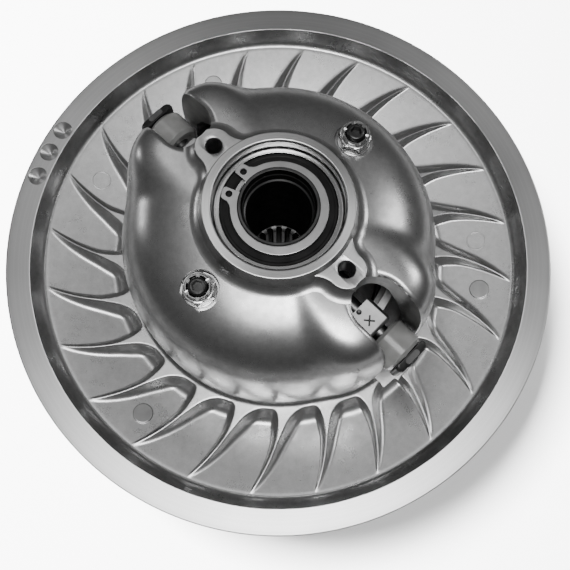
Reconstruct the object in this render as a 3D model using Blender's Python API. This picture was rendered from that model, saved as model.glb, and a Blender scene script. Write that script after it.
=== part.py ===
"""Driven pulley set of a belt drive: two belt sheaves that shift on a splined post.

The front sheave (with the finned face and the dome) hangs on a sealed ball bearing at the post's
front end. The rear sheave slides along the post behind it, and its two-armed carrier reaches into
the dome. Each arm holds a pin with a cam roller, an outer roller and a guide cap. The outer rollers
run in the dome's windows, so both sheaves turn together. The cam rollers stand on a two-ramp cam
that is keyed to the post, so a turn of the sheaves on the post opens them. A spring closes them.

Lengths are in millimetres and angles in degrees. Z = 0 is the post's rear end, and +Z points out of
the dome. Heights written as RIM_Z + value are counted from the front sheave's flat rim.
"""
import bpy
import bmesh
import math
import numpy as np

MM = 0.001                      # mesh units are metres
GAP = 0.3                       # clearance between pieces that touch

# ---- driving dimensions -------------------------------------------------------------------------
RIM_R = 137.5                   # both sheaves
RIM_Z = 78.0                    # front rim face above the post's rear end
BELT_SLOPE = math.tan(math.radians(13.5))
FACE_IN_R = 66.0                # where the two belt faces meet
RIM_THICK = 10.5                # front rim, from its flat face to the belt face
BELT_GAP = 35.0                 # between the belt faces at the rim, closed
SHIFT = 22.0                    # travel of the rear sheave
TWIST = 30.0                    # turn of the sheaves on the post over that travel
FINS = 24
FIN_TIP_R = 119.6
FIN_TIP_ANGLE = 8.4
FIN_SWEEP = 8.5                 # how far a fin leans round the axis from its tip to the dome
COLUMNS = 72                    # facets of the large turned pieces

DOME_R = 76.0
DOME_BASE_Z = RIM_Z - 10.0
DOME_H = 69.0
WINDOW_ANGLES = (135.5, -44.5)
WINDOW_HALF_W = 11.5
WINDOW_IN_S = 57.5              # centre of the window's round inner end, from the axis
CHEEK_OUT = 3.5                 # how far the dome bulges beside a window
HUB_Z = RIM_Z + 67.4
HUB_R = 32.2
EAR_Z = RIM_Z + 64.0
EAR_S = 38.8
EAR_R = 8.4
EAR_HOLE_R = 3.4                # tapped M8
STUD_ANGLES = (45.7, 225.7)
STUD_S = 47.4
STUD_R = 4.0
NUT_SEAT_Z = RIM_Z + 53.2

BEARING_Z0 = RIM_Z + 51.5       # 35 x 55 x 10 thin-section bearing
BEARING_Z1 = RIM_Z + 61.5
BEARING_IN_R = 17.8
BEARING_OUT_R = 27.5
POST_END_Z = RIM_Z + 64.6
POST_SEAT_R = 17.5
POST_R = 19.0
POST_BORE_R = 14.0
SPLINE_TEETH = 16
SPLINE_MAJOR_R = 13.0
SPLINE_MINOR_R = 11.2
SPLINE_TOP_Z = RIM_Z - 4.0

PIN_Z = RIM_Z + 20.5            # height of the roller pins
PIN_R = 4.0
ROLLER_R = 10.6                 # outer roller, runs in the window
ROLLER_S = (66.8, 81.0)         # its span along the pin, from the axis
CAM_ROLLER_R = 9.0
CAM_ROLLER_S = (31.5, 42.4)
BUSH_R = 5.7
CAP_S = (81.4, 85.2)            # guide cap at the pin's outer end
ARM_S = (43.6, 64.5)
ARM_HALF_W = 7.5
ARM_Z = (RIM_Z + 14.0, RIM_Z + 27.0)
CARRIER_RING_Z = (RIM_Z + 14.0, RIM_Z + 20.0)
CARRIER_RING_R = (43.6, 60.5)
LEG_S = (43.6, 49.6)
LEG_HALF_W = 8.2

CAM_R = 42.3
CAM_HUB_R = 27.5
CAM_VALLEY_Z = RIM_Z - 12.0
CAM_PLATEAU_Z = RIM_Z + 17.4

REAR_FLOOR_Z = RIM_Z - 37.0     # front side of the rear sheave's middle
REAR_BACK_Z = RIM_Z - 47.0
REAR_HUB_Z = (RIM_Z - 50.0, RIM_Z - 20.0)
REAR_RIM_Z = RIM_Z - 54.0
CUP_TOP_Z = RIM_Z - 24.6
SPRING_Z = (RIM_Z - 29.1, RIM_Z + 11.7)
SPRING_MEAN_R = 56.7
SPRING_WIRE_R = 1.9
SPRING_TURNS = 4


# ---- scene, materials and mesh helpers ----------------------------------------------------------
def clear_scene():
    for item in list(bpy.data.objects):
        bpy.data.objects.remove(item, do_unlink=True)


def material(name, color, roughness, metallic):
    """A Principled material in the given plain colour."""
    made = bpy.data.materials.new(name)
    made.use_nodes = True
    shader = made.node_tree.nodes["Principled BSDF"]
    shader.inputs["Base Color"].default_value = (*color, 1.0)
    shader.inputs["Roughness"].default_value = roughness
    shader.inputs["Metallic"].default_value = metallic
    return made


def empty(name, parent=None, angle=0.0):
    """A guide frame turned about Z by angle."""
    made = bpy.data.objects.new(name, None)
    made.empty_display_size = 0.02
    made.rotation_euler = (0.0, 0.0, math.radians(angle))
    made.parent = parent
    bpy.context.collection.objects.link(made)
    return made


def add_object(name, verts, faces, finish, parent):
    """A new object from vertices in millimetres, with outward faces and smooth round sides."""
    mesh = bpy.data.meshes.new(name)
    mesh.from_pydata([tuple(c * MM for c in v) for v in verts], [], faces)
    work = bmesh.new()
    work.from_mesh(mesh)
    bmesh.ops.remove_doubles(work, verts=work.verts, dist=1e-7)
    bmesh.ops.recalc_face_normals(work, faces=work.faces)
    work.to_mesh(mesh)
    work.free()
    mesh.shade_smooth()
    mesh.set_sharp_from_angle(angle=math.radians(35))
    made = bpy.data.objects.new(name, mesh)
    if finish is not None:
        mesh.materials.append(finish)
    made.parent = parent
    bpy.context.collection.objects.link(made)
    return made


def lathe(name, rings, finish, parent):
    """A closed body from rings of points: an array of shape (rings, columns, 3)."""
    rings = np.asarray(rings, float)
    count, columns = rings.shape[:2]
    verts = rings.reshape(-1, 3).tolist()
    faces = []
    for i in range(count):
        below = (i + 1) % count
        for j in range(columns):
            side = (j + 1) % columns
            faces.append((i * columns + j, i * columns + side, below * columns + side, below * columns + j))
    return add_object(name, verts, faces, finish, parent)


def polar_ring(r, z, angles):
    """Points at radius r and height z (numbers or one value a column) at the given angles."""
    turn = np.radians(angles)
    return np.stack([r * np.cos(turn), r * np.sin(turn), np.broadcast_to(z, turn.shape)], axis=-1)


def turned(name, outline, finish, parent, columns=32):
    """A ring-shaped body turned about Z from a closed outline of (radius, height) points."""
    angles = np.arange(columns) * 360.0 / columns
    return lathe(name, [polar_ring(r, z, angles) for r, z in outline], finish, parent)


def spindle(name, outline, finish, parent, columns=24):
    """A solid round body turned about Z; the outline runs from its first end to its last."""
    angles = np.arange(columns) * 360.0 / columns
    rings = np.array([polar_ring(r, z, angles) for r, z in outline])
    verts = rings.reshape(-1, 3).tolist()
    faces = [tuple(range(columns))]
    for i in range(len(outline) - 1):
        for j in range(columns):
            side = (j + 1) % columns
            faces.append((i * columns + j, i * columns + side,
                          (i + 1) * columns + side, (i + 1) * columns + j))
    last = (len(outline) - 1) * columns
    faces.append(tuple(range(last, last + columns)))
    return add_object(name, verts, faces, finish, parent)


def prism(name, outline, z0, z1, finish, parent):
    """A flat body extruded along Z from an outline of (x, y) points."""
    count = len(outline)
    verts = [(x, y, z0) for x, y in outline] + [(x, y, z1) for x, y in outline]
    faces = [tuple(range(count)), tuple(range(count, 2 * count))]
    for i in range(count):
        side = (i + 1) % count
        faces.append((i, side, count + side, count + i))
    return add_object(name, verts, faces, finish, parent)


def six_sided_bar_faces():
    """The faces of a bar between two six-sided ends, whose corners are numbered round each end."""
    sides = [(i, (i + 1) % 6, 6 + (i + 1) % 6, 6 + i) for i in range(6)]
    return [tuple(range(6)), tuple(range(6, 12))] + sides


def block(name, low, high, finish, parent):
    """A box between two corners."""
    outline = [(low[0], low[1]), (high[0], low[1]), (high[0], high[1]), (low[0], high[1])]
    return prism(name, outline, low[2], high[2], finish, parent)


def boolean(target, tool, operation="DIFFERENCE"):
    """Cut target with tool, or join them, and keep the tool out of the result."""
    tool.hide_render = True
    tool.display_type = "WIRE"
    step = target.modifiers.new(tool.name, "BOOLEAN")
    step.operation = operation
    step.solver = "EXACT"
    step.object = tool


def along_pin(made, s, z=PIN_Z):
    """Stand a body that was turned about Z on a window's radial pin line, at distance s."""
    made.location = (s * MM, 0.0, z * MM)
    made.rotation_euler = (0.0, math.radians(90), 0.0)


def chamfered_tube(length, inner, outer, chamfer):
    """The outline of a roller, centred on its own middle."""
    half = length / 2
    return [(inner, half), (outer - chamfer, half), (outer, half - chamfer),
            (outer, chamfer - half), (outer - chamfer, -half), (inner, -half)]


# ---- the front sheave's surfaces ----------------------------------------------------------------
def smooth_step(low, high, value):
    share = np.clip((value - low) / (high - low), 0.0, 1.0)
    return share * share * (3.0 - 2.0 * share)


def nearest_offset(angles, targets):
    """The smallest signed angle from each angle to one of the targets."""
    differences = np.stack([(angles - t + 180.0) % 360.0 - 180.0 for t in targets])
    pick = np.argmin(np.abs(differences), axis=0)
    return np.take_along_axis(differences, pick[None], axis=0)[0]


def cheek_share(angles):
    """1 beside a window, 0 away from it."""
    return 1.0 - smooth_step(14.0, 27.0, np.abs(nearest_offset(angles, WINDOW_ANGLES)))


def dome_radius(angles):
    return DOME_R + CHEEK_OUT * cheek_share(angles)


def dome_ring(psi, angles):
    """Where a ray at psi from the dome's base centre leaves the dome, a superellipse of turning."""
    share = cheek_share(angles)
    power = 4.0 + 10.0 * share
    base = dome_radius(angles)
    sine = math.sin(math.radians(psi))
    cosine = math.cos(math.radians(psi))
    low = np.zeros_like(angles)
    high = np.full_like(angles, 120.0)
    for _ in range(40):
        middle = (low + high) / 2
        inside = (middle * sine / base) ** power + (middle * cosine / DOME_H) ** 3.2 < 1.0
        low = np.where(inside, middle, low)
        high = np.where(inside, high, middle)
    return low * sine, DOME_BASE_Z + low * cosine


def belt_front_z(r):
    return RIM_Z - RIM_THICK - (RIM_R - r) * BELT_SLOPE


def belt_rear_z(r):
    return RIM_Z - RIM_THICK - BELT_GAP + (RIM_R - r) * BELT_SLOPE


def sweep(r):
    """How far the fins have leaned round the axis at radius r."""
    share = np.clip((FIN_TIP_R - r) / (FIN_TIP_R - 80.0), 0.0, 1.0)
    return FIN_SWEEP * (1.3 * share - 0.3 * share * share)


def pocket_z(r, fin):
    """Height of the finned face: its dished floor, or a fin's crest."""
    share = (FIN_TIP_R - r) / (FIN_TIP_R - 80.0)
    floor = RIM_Z - 9.6 - 9.5 * share
    crest = RIM_Z - 9.6 - 2.4 * share
    return np.where(fin, crest, floor)


def front_sheave(finish, parent):
    """The outer sheave: hub ring, dome, finned face, flat rim and belt face in one casting."""
    base = FIN_TIP_ANGLE + np.arange(COLUMNS) * 360.0 / COLUMNS
    fin = np.arange(COLUMNS) % (COLUMNS // FINS) == 0
    inner = base + sweep(80.0)
    rings = [polar_ring(28.8, HUB_Z, inner), polar_ring(HUB_R, HUB_Z, inner)]
    for psi in (27.0, 30.2, 33.5, 38.5, 45.5, 54.0, 66.0, 90.0):
        r, z = dome_ring(psi, inner)
        rings.append(polar_ring(r, z, inner))
    ledge = dome_radius(inner)
    rings.append(polar_ring(ledge + 1.5, RIM_Z - 12.5, inner))
    rings.append(polar_ring(ledge + 3.5, RIM_Z - 12.5, inner))
    for r in (87.5, 102.0, FIN_TIP_R):
        rings.append(polar_ring(r, pocket_z(r, fin), base + sweep(r)))
    rings.append(polar_ring(125.3, RIM_Z, base))
    rings.append(polar_ring(RIM_R, RIM_Z, base))
    for r in (RIM_R, FACE_IN_R):
        rings.append(polar_ring(r, belt_front_z(r), base))
    seat_z = CUP_TOP_Z + GAP
    hollow = [(64.7, belt_front_z(FACE_IN_R)), (64.7, seat_z), (61.6, seat_z), (61.6, RIM_Z - 19.5),
              (70.5, RIM_Z - 19.5), (70.2, RIM_Z + 14.0), (64.0, RIM_Z + 36.0), (48.0, RIM_Z + 47.5),
              (31.0, RIM_Z + 50.0), (31.0, RIM_Z + 48.0), (24.5, RIM_Z + 48.0),
              (24.5, BEARING_Z0 - GAP), (BEARING_OUT_R + GAP, BEARING_Z0 - GAP),
              (BEARING_OUT_R + GAP, HUB_Z - 1.0)]
    rings += [polar_ring(r, z, inner) for r, z in hollow]
    sheave = lathe("front_sheave", rings, finish, parent)
    for number, angle in enumerate(WINDOW_ANGLES, 1):
        cut_window(sheave, number, angle, parent)
    for number, angle in enumerate(STUD_ANGLES, 1):
        frame = empty(f"stud_frame_{number}", parent, angle)
        face = spindle(f"spot_face_{number}", [(9.6, NUT_SEAT_Z), (9.6, NUT_SEAT_Z + 20)], None, frame)
        hole = spindle(f"stud_hole_{number}", [(STUD_R + 0.4, RIM_Z + 30), (STUD_R + 0.4, HUB_Z)],
                       None, frame, 16)
        for tool in (face, hole):
            tool.location.x = STUD_S * MM
            boolean(sheave, tool)
    return sheave


def cut_window(sheave, number, angle, parent):
    """A bolt ear with its tapped hole, and a radial slot with a round inner end, open outwards."""
    frame = empty(f"window_frame_{number}", parent, angle)
    ear = spindle(f"ear_{number}", [(EAR_R + 1.5, RIM_Z + 53), (EAR_R, EAR_Z)], None, frame, 20)
    ear.location.x = EAR_S * MM
    boolean(sheave, ear, "UNION")
    arc = [(WINDOW_IN_S - WINDOW_HALF_W * math.sin(math.radians(a)),
            WINDOW_HALF_W * math.cos(math.radians(a))) for a in range(0, 181, 20)]
    outline = arc + [(88.0, -WINDOW_HALF_W), (88.0, WINDOW_HALF_W)]
    slot = prism(f"window_cut_{number}", outline, RIM_Z - 15.0, RIM_Z + 80.0, None, frame)
    boolean(sheave, slot)
    hole = spindle(f"ear_hole_{number}", [(EAR_HOLE_R, RIM_Z + 40), (EAR_HOLE_R, RIM_Z + 80)],
                   None, frame, 16)
    hole.location.x = EAR_S * MM
    boolean(sheave, hole)


# ---- the rear sheave ----------------------------------------------------------------------------
def rear_sheave(finish, parent):
    """The sliding sheave: hub tube, flat middle, belt face and a ribbed back."""
    base = FIN_TIP_ANGLE + np.arange(COLUMNS) * 360.0 / COLUMNS
    rib = np.arange(COLUMNS) % (COLUMNS // FINS) == 0
    inner = base + sweep(80.0)
    bore = POST_R + 2.8
    front = [(bore, REAR_HUB_Z[1]), (26.0, REAR_HUB_Z[1]), (26.0, REAR_FLOOR_Z + 3.0),
             (29.0, REAR_FLOOR_Z), (62.0, REAR_FLOOR_Z), (FACE_IN_R, belt_rear_z(FACE_IN_R))]
    rings = [polar_ring(r, z, inner) for r, z in front]
    rings.append(polar_ring(RIM_R, belt_rear_z(RIM_R), base))
    rings.append(polar_ring(RIM_R, REAR_RIM_Z, base))
    rings.append(polar_ring(125.3, REAR_RIM_Z, base))
    for r in (FIN_TIP_R, 105.0, 90.0):
        floor = belt_rear_z(r) - 6.5
        height = np.where(rib, belt_rear_z(FIN_TIP_R) - 6.5, floor)
        rings.append(polar_ring(r, height, base + sweep(r)))
    back = [(80.0, REAR_BACK_Z + 2.0), (72.0, REAR_BACK_Z), (31.0, REAR_BACK_Z),
            (31.0, REAR_HUB_Z[0]), (bore, REAR_HUB_Z[0])]
    rings += [polar_ring(r, z, inner) for r, z in back]
    sheave = lathe("rear_sheave", rings, finish, parent)
    for number, (x, y) in enumerate(screw_places(), 1):
        hole = spindle(f"screw_hole_{number}", [(2.9, RIM_Z - 60), (2.9, RIM_Z - 30)], None, parent, 12)
        hole.location = (x * MM, y * MM, 0.0)
        boolean(sheave, hole)
    return sheave


def screw_places():
    """Where the four carrier screws stand: two below each leg."""
    places = []
    for angle in WINDOW_ANGLES:
        turn = math.radians(angle)
        for across in (-4.4, 4.4):
            along = (LEG_S[0] + LEG_S[1]) / 2
            places.append((along * math.cos(turn) - across * math.sin(turn),
                           along * math.sin(turn) + across * math.cos(turn)))
    return places


def roller_carrier(finish, parent):
    """A ring with two roller arms, on two legs that stand on the rear sheave."""
    carrier = turned("roller_carrier", [(CARRIER_RING_R[0], CARRIER_RING_Z[1]),
                                        (CARRIER_RING_R[1], CARRIER_RING_Z[1]),
                                        (CARRIER_RING_R[1], CARRIER_RING_Z[0]),
                                        (CARRIER_RING_R[0], CARRIER_RING_Z[0])], finish, parent, 36)
    for number, angle in enumerate(WINDOW_ANGLES, 1):
        frame = empty(f"arm_frame_{number}", parent, angle)
        w = ARM_HALF_W
        top = [(-w, ARM_Z[0] - 0.2), (w, ARM_Z[0] - 0.2), (w, ARM_Z[1] - 1.5), (w - 1.5, ARM_Z[1]),
               (1.5 - w, ARM_Z[1]), (-w, ARM_Z[1] - 1.5)]
        verts = [(ARM_S[0] + 0.4, y, z) for y, z in top] + [(ARM_S[1], y, z) for y, z in top]
        arm = add_object(f"arm_{number}", verts, six_sided_bar_faces(), None, frame)
        boolean(carrier, arm, "UNION")
        leg = block(f"leg_{number}", (LEG_S[0] + 0.6, -LEG_HALF_W, REAR_FLOOR_Z + GAP),
                    (LEG_S[1], LEG_HALF_W, ARM_Z[0] + 2.0), None, frame)
        boolean(carrier, leg, "UNION")
    for number in range(1, len(WINDOW_ANGLES) + 1):
        frame = bpy.data.objects[f"arm_frame_{number}"]
        hole = spindle(f"pin_hole_{number}", [(PIN_R + GAP, -40), (PIN_R + GAP, 40)], None, frame, 16)
        along_pin(hole, 52.0)
        boolean(carrier, hole)
        dot = spindle(f"arm_dot_{number}", [(1.4, ARM_Z[1] - 2.2), (1.4, ARM_Z[1] + 5)], None, frame, 10)
        dot.location = (50.0 * MM, 3.0 * MM, 0.0)
        boolean(carrier, dot)
    for number, angle in enumerate(STUD_ANGLES, 1):
        notch = spindle(f"stud_notch_{number}", [(5.6, RIM_Z + 5), (5.6, RIM_Z + 30)], None,
                        empty(f"notch_frame_{number}", parent, angle), 16)
        notch.location.x = STUD_S * MM
        boolean(carrier, notch)
    for number, (x, y) in enumerate(screw_places(), 1):
        tapping = spindle(f"tapping_{number}", [(2.8, RIM_Z - 50), (2.8, REAR_FLOOR_Z + 15)],
                          None, parent, 12)
        tapping.location = (x * MM, y * MM, 0.0)
        boolean(carrier, tapping)
    return carrier


def cap_screw(name, x, y, finish, parent):
    """An M5 socket-head screw, head down, under the rear sheave."""
    head_r = 4.0
    top = REAR_BACK_Z - GAP
    outline = [(2.2, REAR_BACK_Z - 2.6), (2.5, top - 5.0), (head_r, top - 5.0), (head_r, top), (2.5, top),
               (2.5, REAR_FLOOR_Z + 13.0), (0.8, REAR_FLOOR_Z + 13.5)]
    made = spindle(name, outline, finish, parent, 8)
    made.location = (x * MM, y * MM, 0.0)
    return made


# ---- post, cam and bearing ----------------------------------------------------------------------
def post(finish, parent):
    """The steel post: bearing seat and ring grooves outside, internal spline inside."""
    columns = 2 * SPLINE_TEETH
    angles = np.arange(columns) * 360.0 / columns
    tooth = np.where(np.arange(columns) % 2 == 0, SPLINE_MINOR_R, SPLINE_MAJOR_R)
    outline = [(15.3, POST_END_Z - 3.0), (15.9, POST_END_Z), (17.0, POST_END_Z),
               (POST_SEAT_R, POST_END_Z - 0.5),
               (POST_SEAT_R, RIM_Z + 63.4), (16.5, RIM_Z + 63.4), (16.5, RIM_Z + 61.6),
               (POST_SEAT_R, RIM_Z + 61.6), (POST_SEAT_R, RIM_Z + 51.2), (POST_R, RIM_Z + 50.2),
               (POST_R, 3.8), (17.8, 3.8), (17.8, 2.0), (POST_R, 2.0), (POST_R, 0.8), (POST_R - 0.8, 0.0),
               (tooth, 0.0), (tooth, SPLINE_TOP_Z), (POST_BORE_R, SPLINE_TOP_Z),
               (POST_BORE_R, POST_END_Z - 3.0)]
    return lathe("post", [polar_ring(r, z, angles) for r, z in outline], finish, parent)


def helix_cam(finish, parent):
    """A keyed hub with two ramps: each falls as far as the rear sheave shifts over the twist."""
    step = 360.0 / COLUMNS
    angles = WINDOW_ANGLES[1] + np.arange(COLUMNS) * step
    from_roller = nearest_offset(angles, WINDOW_ANGLES)
    reach = CAM_ROLLER_R + GAP
    ramps = []
    for r in (CAM_HUB_R, CAM_R):
        slope = math.atan(SHIFT / (r * math.radians(TWIST)))
        ramp = PIN_Z - reach / math.cos(slope) - SHIFT / TWIST * from_roller
        ramp = np.clip(ramp, CAM_VALLEY_Z, CAM_PLATEAU_Z)
        ramps.append(np.where(from_roller > 70.0, CAM_PLATEAU_Z, ramp))
    key_z = RIM_Z - 8.0
    bore = POST_R + GAP
    outline = [(bore, RIM_Z + 48.0), (CAM_HUB_R - 4.0, RIM_Z + 48.0), (CAM_HUB_R, CAM_PLATEAU_Z + 6.0),
               (CAM_HUB_R, ramps[0]), (CAM_R, ramps[1]), (CAM_R, RIM_Z - 19.0),
               (30.0, RIM_Z - 19.0), (CAM_HUB_R, key_z), (bore, key_z)]
    return lathe("helix_cam", [polar_ring(r, z, angles) for r, z in outline], finish, parent)


def bearing_balls(finish, parent):
    """The ball cage with its twelve balls, which travel round together."""
    middle = (BEARING_Z0 + BEARING_Z1) / 2
    cage = turned("bearing_balls", [(21.7, middle + 1.6), (23.3, middle + 1.6),
                                    (23.3, middle - 1.6), (21.7, middle - 1.6)], finish, parent, 24)
    for i in range(12):
        sphere = [(2.65 * math.sin(math.radians(a)), 2.65 * math.cos(math.radians(a)))
                  for a in (25, 70, 110, 155)]
        ball = spindle(f"ball_{i}", sphere, None, parent, 6)
        turn = math.radians(i * 30.0)
        ball.location = (22.5 * math.cos(turn) * MM, 22.5 * math.sin(turn) * MM, middle * MM)
        boolean(cage, ball, "UNION")
    return cage


def circlip(finish, parent):
    """An open retaining ring with two lugs, in the post's front groove."""
    gap_angle = 149.0
    points = []
    lug = [(9.0, 17.6), (9.5, 23.4), (20.5, 23.8), (26.0, 20.8)]
    points += [(r, gap_angle + a) for a, r in lug]
    points += [(20.6, gap_angle + a) for a in range(40, 321, 10)]
    points += [(r, gap_angle - a) for a, r in reversed(lug)]
    points += [(16.9, gap_angle - a) for a in range(9, 352, 12)]
    outline = [(r * math.cos(math.radians(a)), r * math.sin(math.radians(a))) for r, a in points]
    ring = prism("post_circlip", outline, RIM_Z + 61.8, RIM_Z + 63.2, finish, parent)
    for number, side in enumerate((-15.5, 15.5), 1):
        turn = math.radians(gap_angle + side)
        hole = spindle(f"lug_hole_{number}", [(1.2, RIM_Z + 60), (1.2, RIM_Z + 65)], None, parent, 10)
        hole.location = (21.4 * math.cos(turn) * MM, 21.4 * math.sin(turn) * MM, 0.0)
        boolean(ring, hole)
    return ring


# ---- roller sets, spring, studs -----------------------------------------------------------------
def roller_set(number, angle, finishes, parent):
    """One arm's pin with its cam roller, outer roller, their bushes and the guide cap."""
    frame = empty(f"roller_frame_{number}", parent, angle)
    outline = [(5.2, 28.8), (5.2, 30.9), (PIN_R, 30.9), (PIN_R, 85.6), (3.4, 86.2)]
    pin = spindle(f"roller_pin_{number}", outline, finishes["steel"], frame, 16)
    along_pin(pin, 0.0)
    cap_half_w = 9.2
    cap_half_h = 9.8
    verts = []
    for s, half in ((CAP_S[0], cap_half_h), (CAP_S[1], cap_half_h - 1.2)):
        for y, z in ((-cap_half_w, -half), (cap_half_w, -half), (cap_half_w, half - 2),
                     (cap_half_w - 2, half), (2 - cap_half_w, half), (-cap_half_w, half - 2)):
            verts.append((s, y, PIN_Z + z))
    cap = add_object(f"guide_cap_{number}", verts, six_sided_bar_faces(), finishes["black_plastic"], frame)
    hole = spindle(f"cap_hole_{number}", [(PIN_R + GAP, -10), (PIN_R + GAP, 10)], None, frame, 16)
    along_pin(hole, 83.0)
    boolean(cap, hole)
    rollers = (("outer_roller", ROLLER_S, ROLLER_R, "grey_plastic", 1.6),
               ("cam_roller", CAM_ROLLER_S, CAM_ROLLER_R, "dark_plastic", 1.0))
    for name, span, radius, finish, chamfer in rollers:
        length = span[1] - span[0]
        middle = (span[0] + span[1]) / 2
        roller = turned(f"{name}_{number}", chamfered_tube(length, BUSH_R + GAP, radius, chamfer),
                        finishes[finish], frame, 20)
        along_pin(roller, middle)
        half = length / 2 - 0.3
        bush = turned(f"{name}_bush_{number}", [(PIN_R + GAP, half), (BUSH_R, half), (BUSH_R, -half),
                                                (PIN_R + GAP, -half)], finishes["bronze"], frame, 12)
        along_pin(bush, middle)


def spring(finish, parent):
    """A four-turn compression spring of round wire, with its ends cut square."""
    steps = 20
    count = SPRING_TURNS * steps + 1
    sides = 5
    rise = SPRING_Z[1] - SPRING_Z[0] - 2 * SPRING_WIRE_R
    rings = []
    for i in range(count):
        share = i / (count - 1)
        turn = 2 * math.pi * SPRING_TURNS * share
        z = SPRING_Z[0] + SPRING_WIRE_R + rise * share
        ring = []
        for k in range(sides):
            around = 2 * math.pi * k / sides
            r = SPRING_MEAN_R + SPRING_WIRE_R * math.cos(around)
            ring.append((r * math.cos(turn), r * math.sin(turn), z + SPRING_WIRE_R * math.sin(around)))
        rings.append(ring)
    verts = [p for ring in rings for p in ring]
    faces = [tuple(range(sides))]
    for i in range(count - 1):
        for k in range(sides):
            side = (k + 1) % sides
            faces.append((i * sides + k, i * sides + side, (i + 1) * sides + side, (i + 1) * sides + k))
    faces.append(tuple(range((count - 1) * sides, count * sides)))
    return add_object("spring", verts, faces, finish, parent)


def spring_cup(finish, parent):
    """The pressed plate that closes the dome's underside and seats the spring."""
    top = CUP_TOP_Z
    outline = [(29.0, top), (53.2, top), (54.0, top - 0.8), (54.0, top - 6.6), (59.2, top - 6.6),
               (59.2, top), (64.4, top), (64.4, top - 2.6), (61.3, top - 2.6), (61.3, top - 9.0),
               (52.6, top - 9.0), (52.6, top - 2.6), (29.0, top - 2.6)]
    cup = turned("spring_cup", outline, finish, parent, 36)
    for number, angle in enumerate(WINDOW_ANGLES, 1):
        frame = empty(f"cup_slot_frame_{number}", parent, angle)
        slot = block(f"cup_slot_{number}", (LEG_S[0] - 0.8, -LEG_HALF_W - 1.2, top - 5.0),
                     (LEG_S[1] + 0.8, LEG_HALF_W + 1.2, top + 5.0), None, frame)
        boolean(cup, slot)
    for number, angle in enumerate(STUD_ANGLES, 1):
        frame = empty(f"cup_stud_frame_{number}", parent, angle)
        hole = spindle(f"cup_hole_{number}", [(STUD_R + GAP, top - 5.0), (STUD_R + GAP, top + 5.0)],
                       None, frame, 16)
        hole.location.x = STUD_S * MM
        boolean(cup, hole)
    return cup


def stud_set(number, angle, finishes, parent):
    """A long stud from the spring cup up through the dome, with its washer and lock nut."""
    frame = empty(f"stud_line_{number}", parent, angle)
    base = CUP_TOP_Z - 2.6 - GAP
    outline = [(4.2, base - 3.0), (4.6, base), (STUD_R, base), (STUD_R, NUT_SEAT_Z + 9.8),
               (3.3, NUT_SEAT_Z + 10.6)]
    stud = spindle(f"stud_{number}", outline, finishes["steel"], frame, 16)
    washer_z = NUT_SEAT_Z + GAP
    outline = [(STUD_R + GAP, washer_z + 1.5), (8.0, washer_z + 1.5), (8.0, washer_z),
               (STUD_R + GAP, washer_z)]
    washer = turned(f"stud_washer_{number}", outline, finishes["zinc"], frame, 16)
    nut_z = washer_z + 1.5 + GAP
    columns = 12
    angles = np.arange(columns) * 360.0 / columns
    flat = 6.5 / np.cos(np.radians((angles + 30.0) % 60.0 - 30.0))
    bore = STUD_R + GAP
    rings = [(bore, nut_z), (flat, nut_z), (flat, nut_z + 5.6), (5.6, nut_z + 6.0), (5.6, nut_z + 7.4),
             (bore, nut_z + 7.4)]
    nut = lathe(f"lock_nut_{number}", [polar_ring(r, z, angles) for r, z in rings], finishes["zinc"], frame)
    for piece in (stud, washer, nut):
        piece.location.x = STUD_S * MM


def rear_retainer(finishes, parent):
    """The stop washer and the round ring that keep the rear sheave on the post."""
    turned("stop_washer", [(POST_R + GAP, 5.8), (27.0, 5.8), (27.0, 4.0), (POST_R + GAP, 4.0)],
           finishes["steel"], parent, 24)
    outline = [(r * math.cos(math.radians(a)), r * math.sin(math.radians(a)))
               for r, angles in ((22.0, range(20, 341, 16)), (18.1, range(340, 19, -16))) for a in angles]
    prism("rear_circlip", outline, 2.2, 3.6, finishes["spring_steel"], parent)


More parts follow.
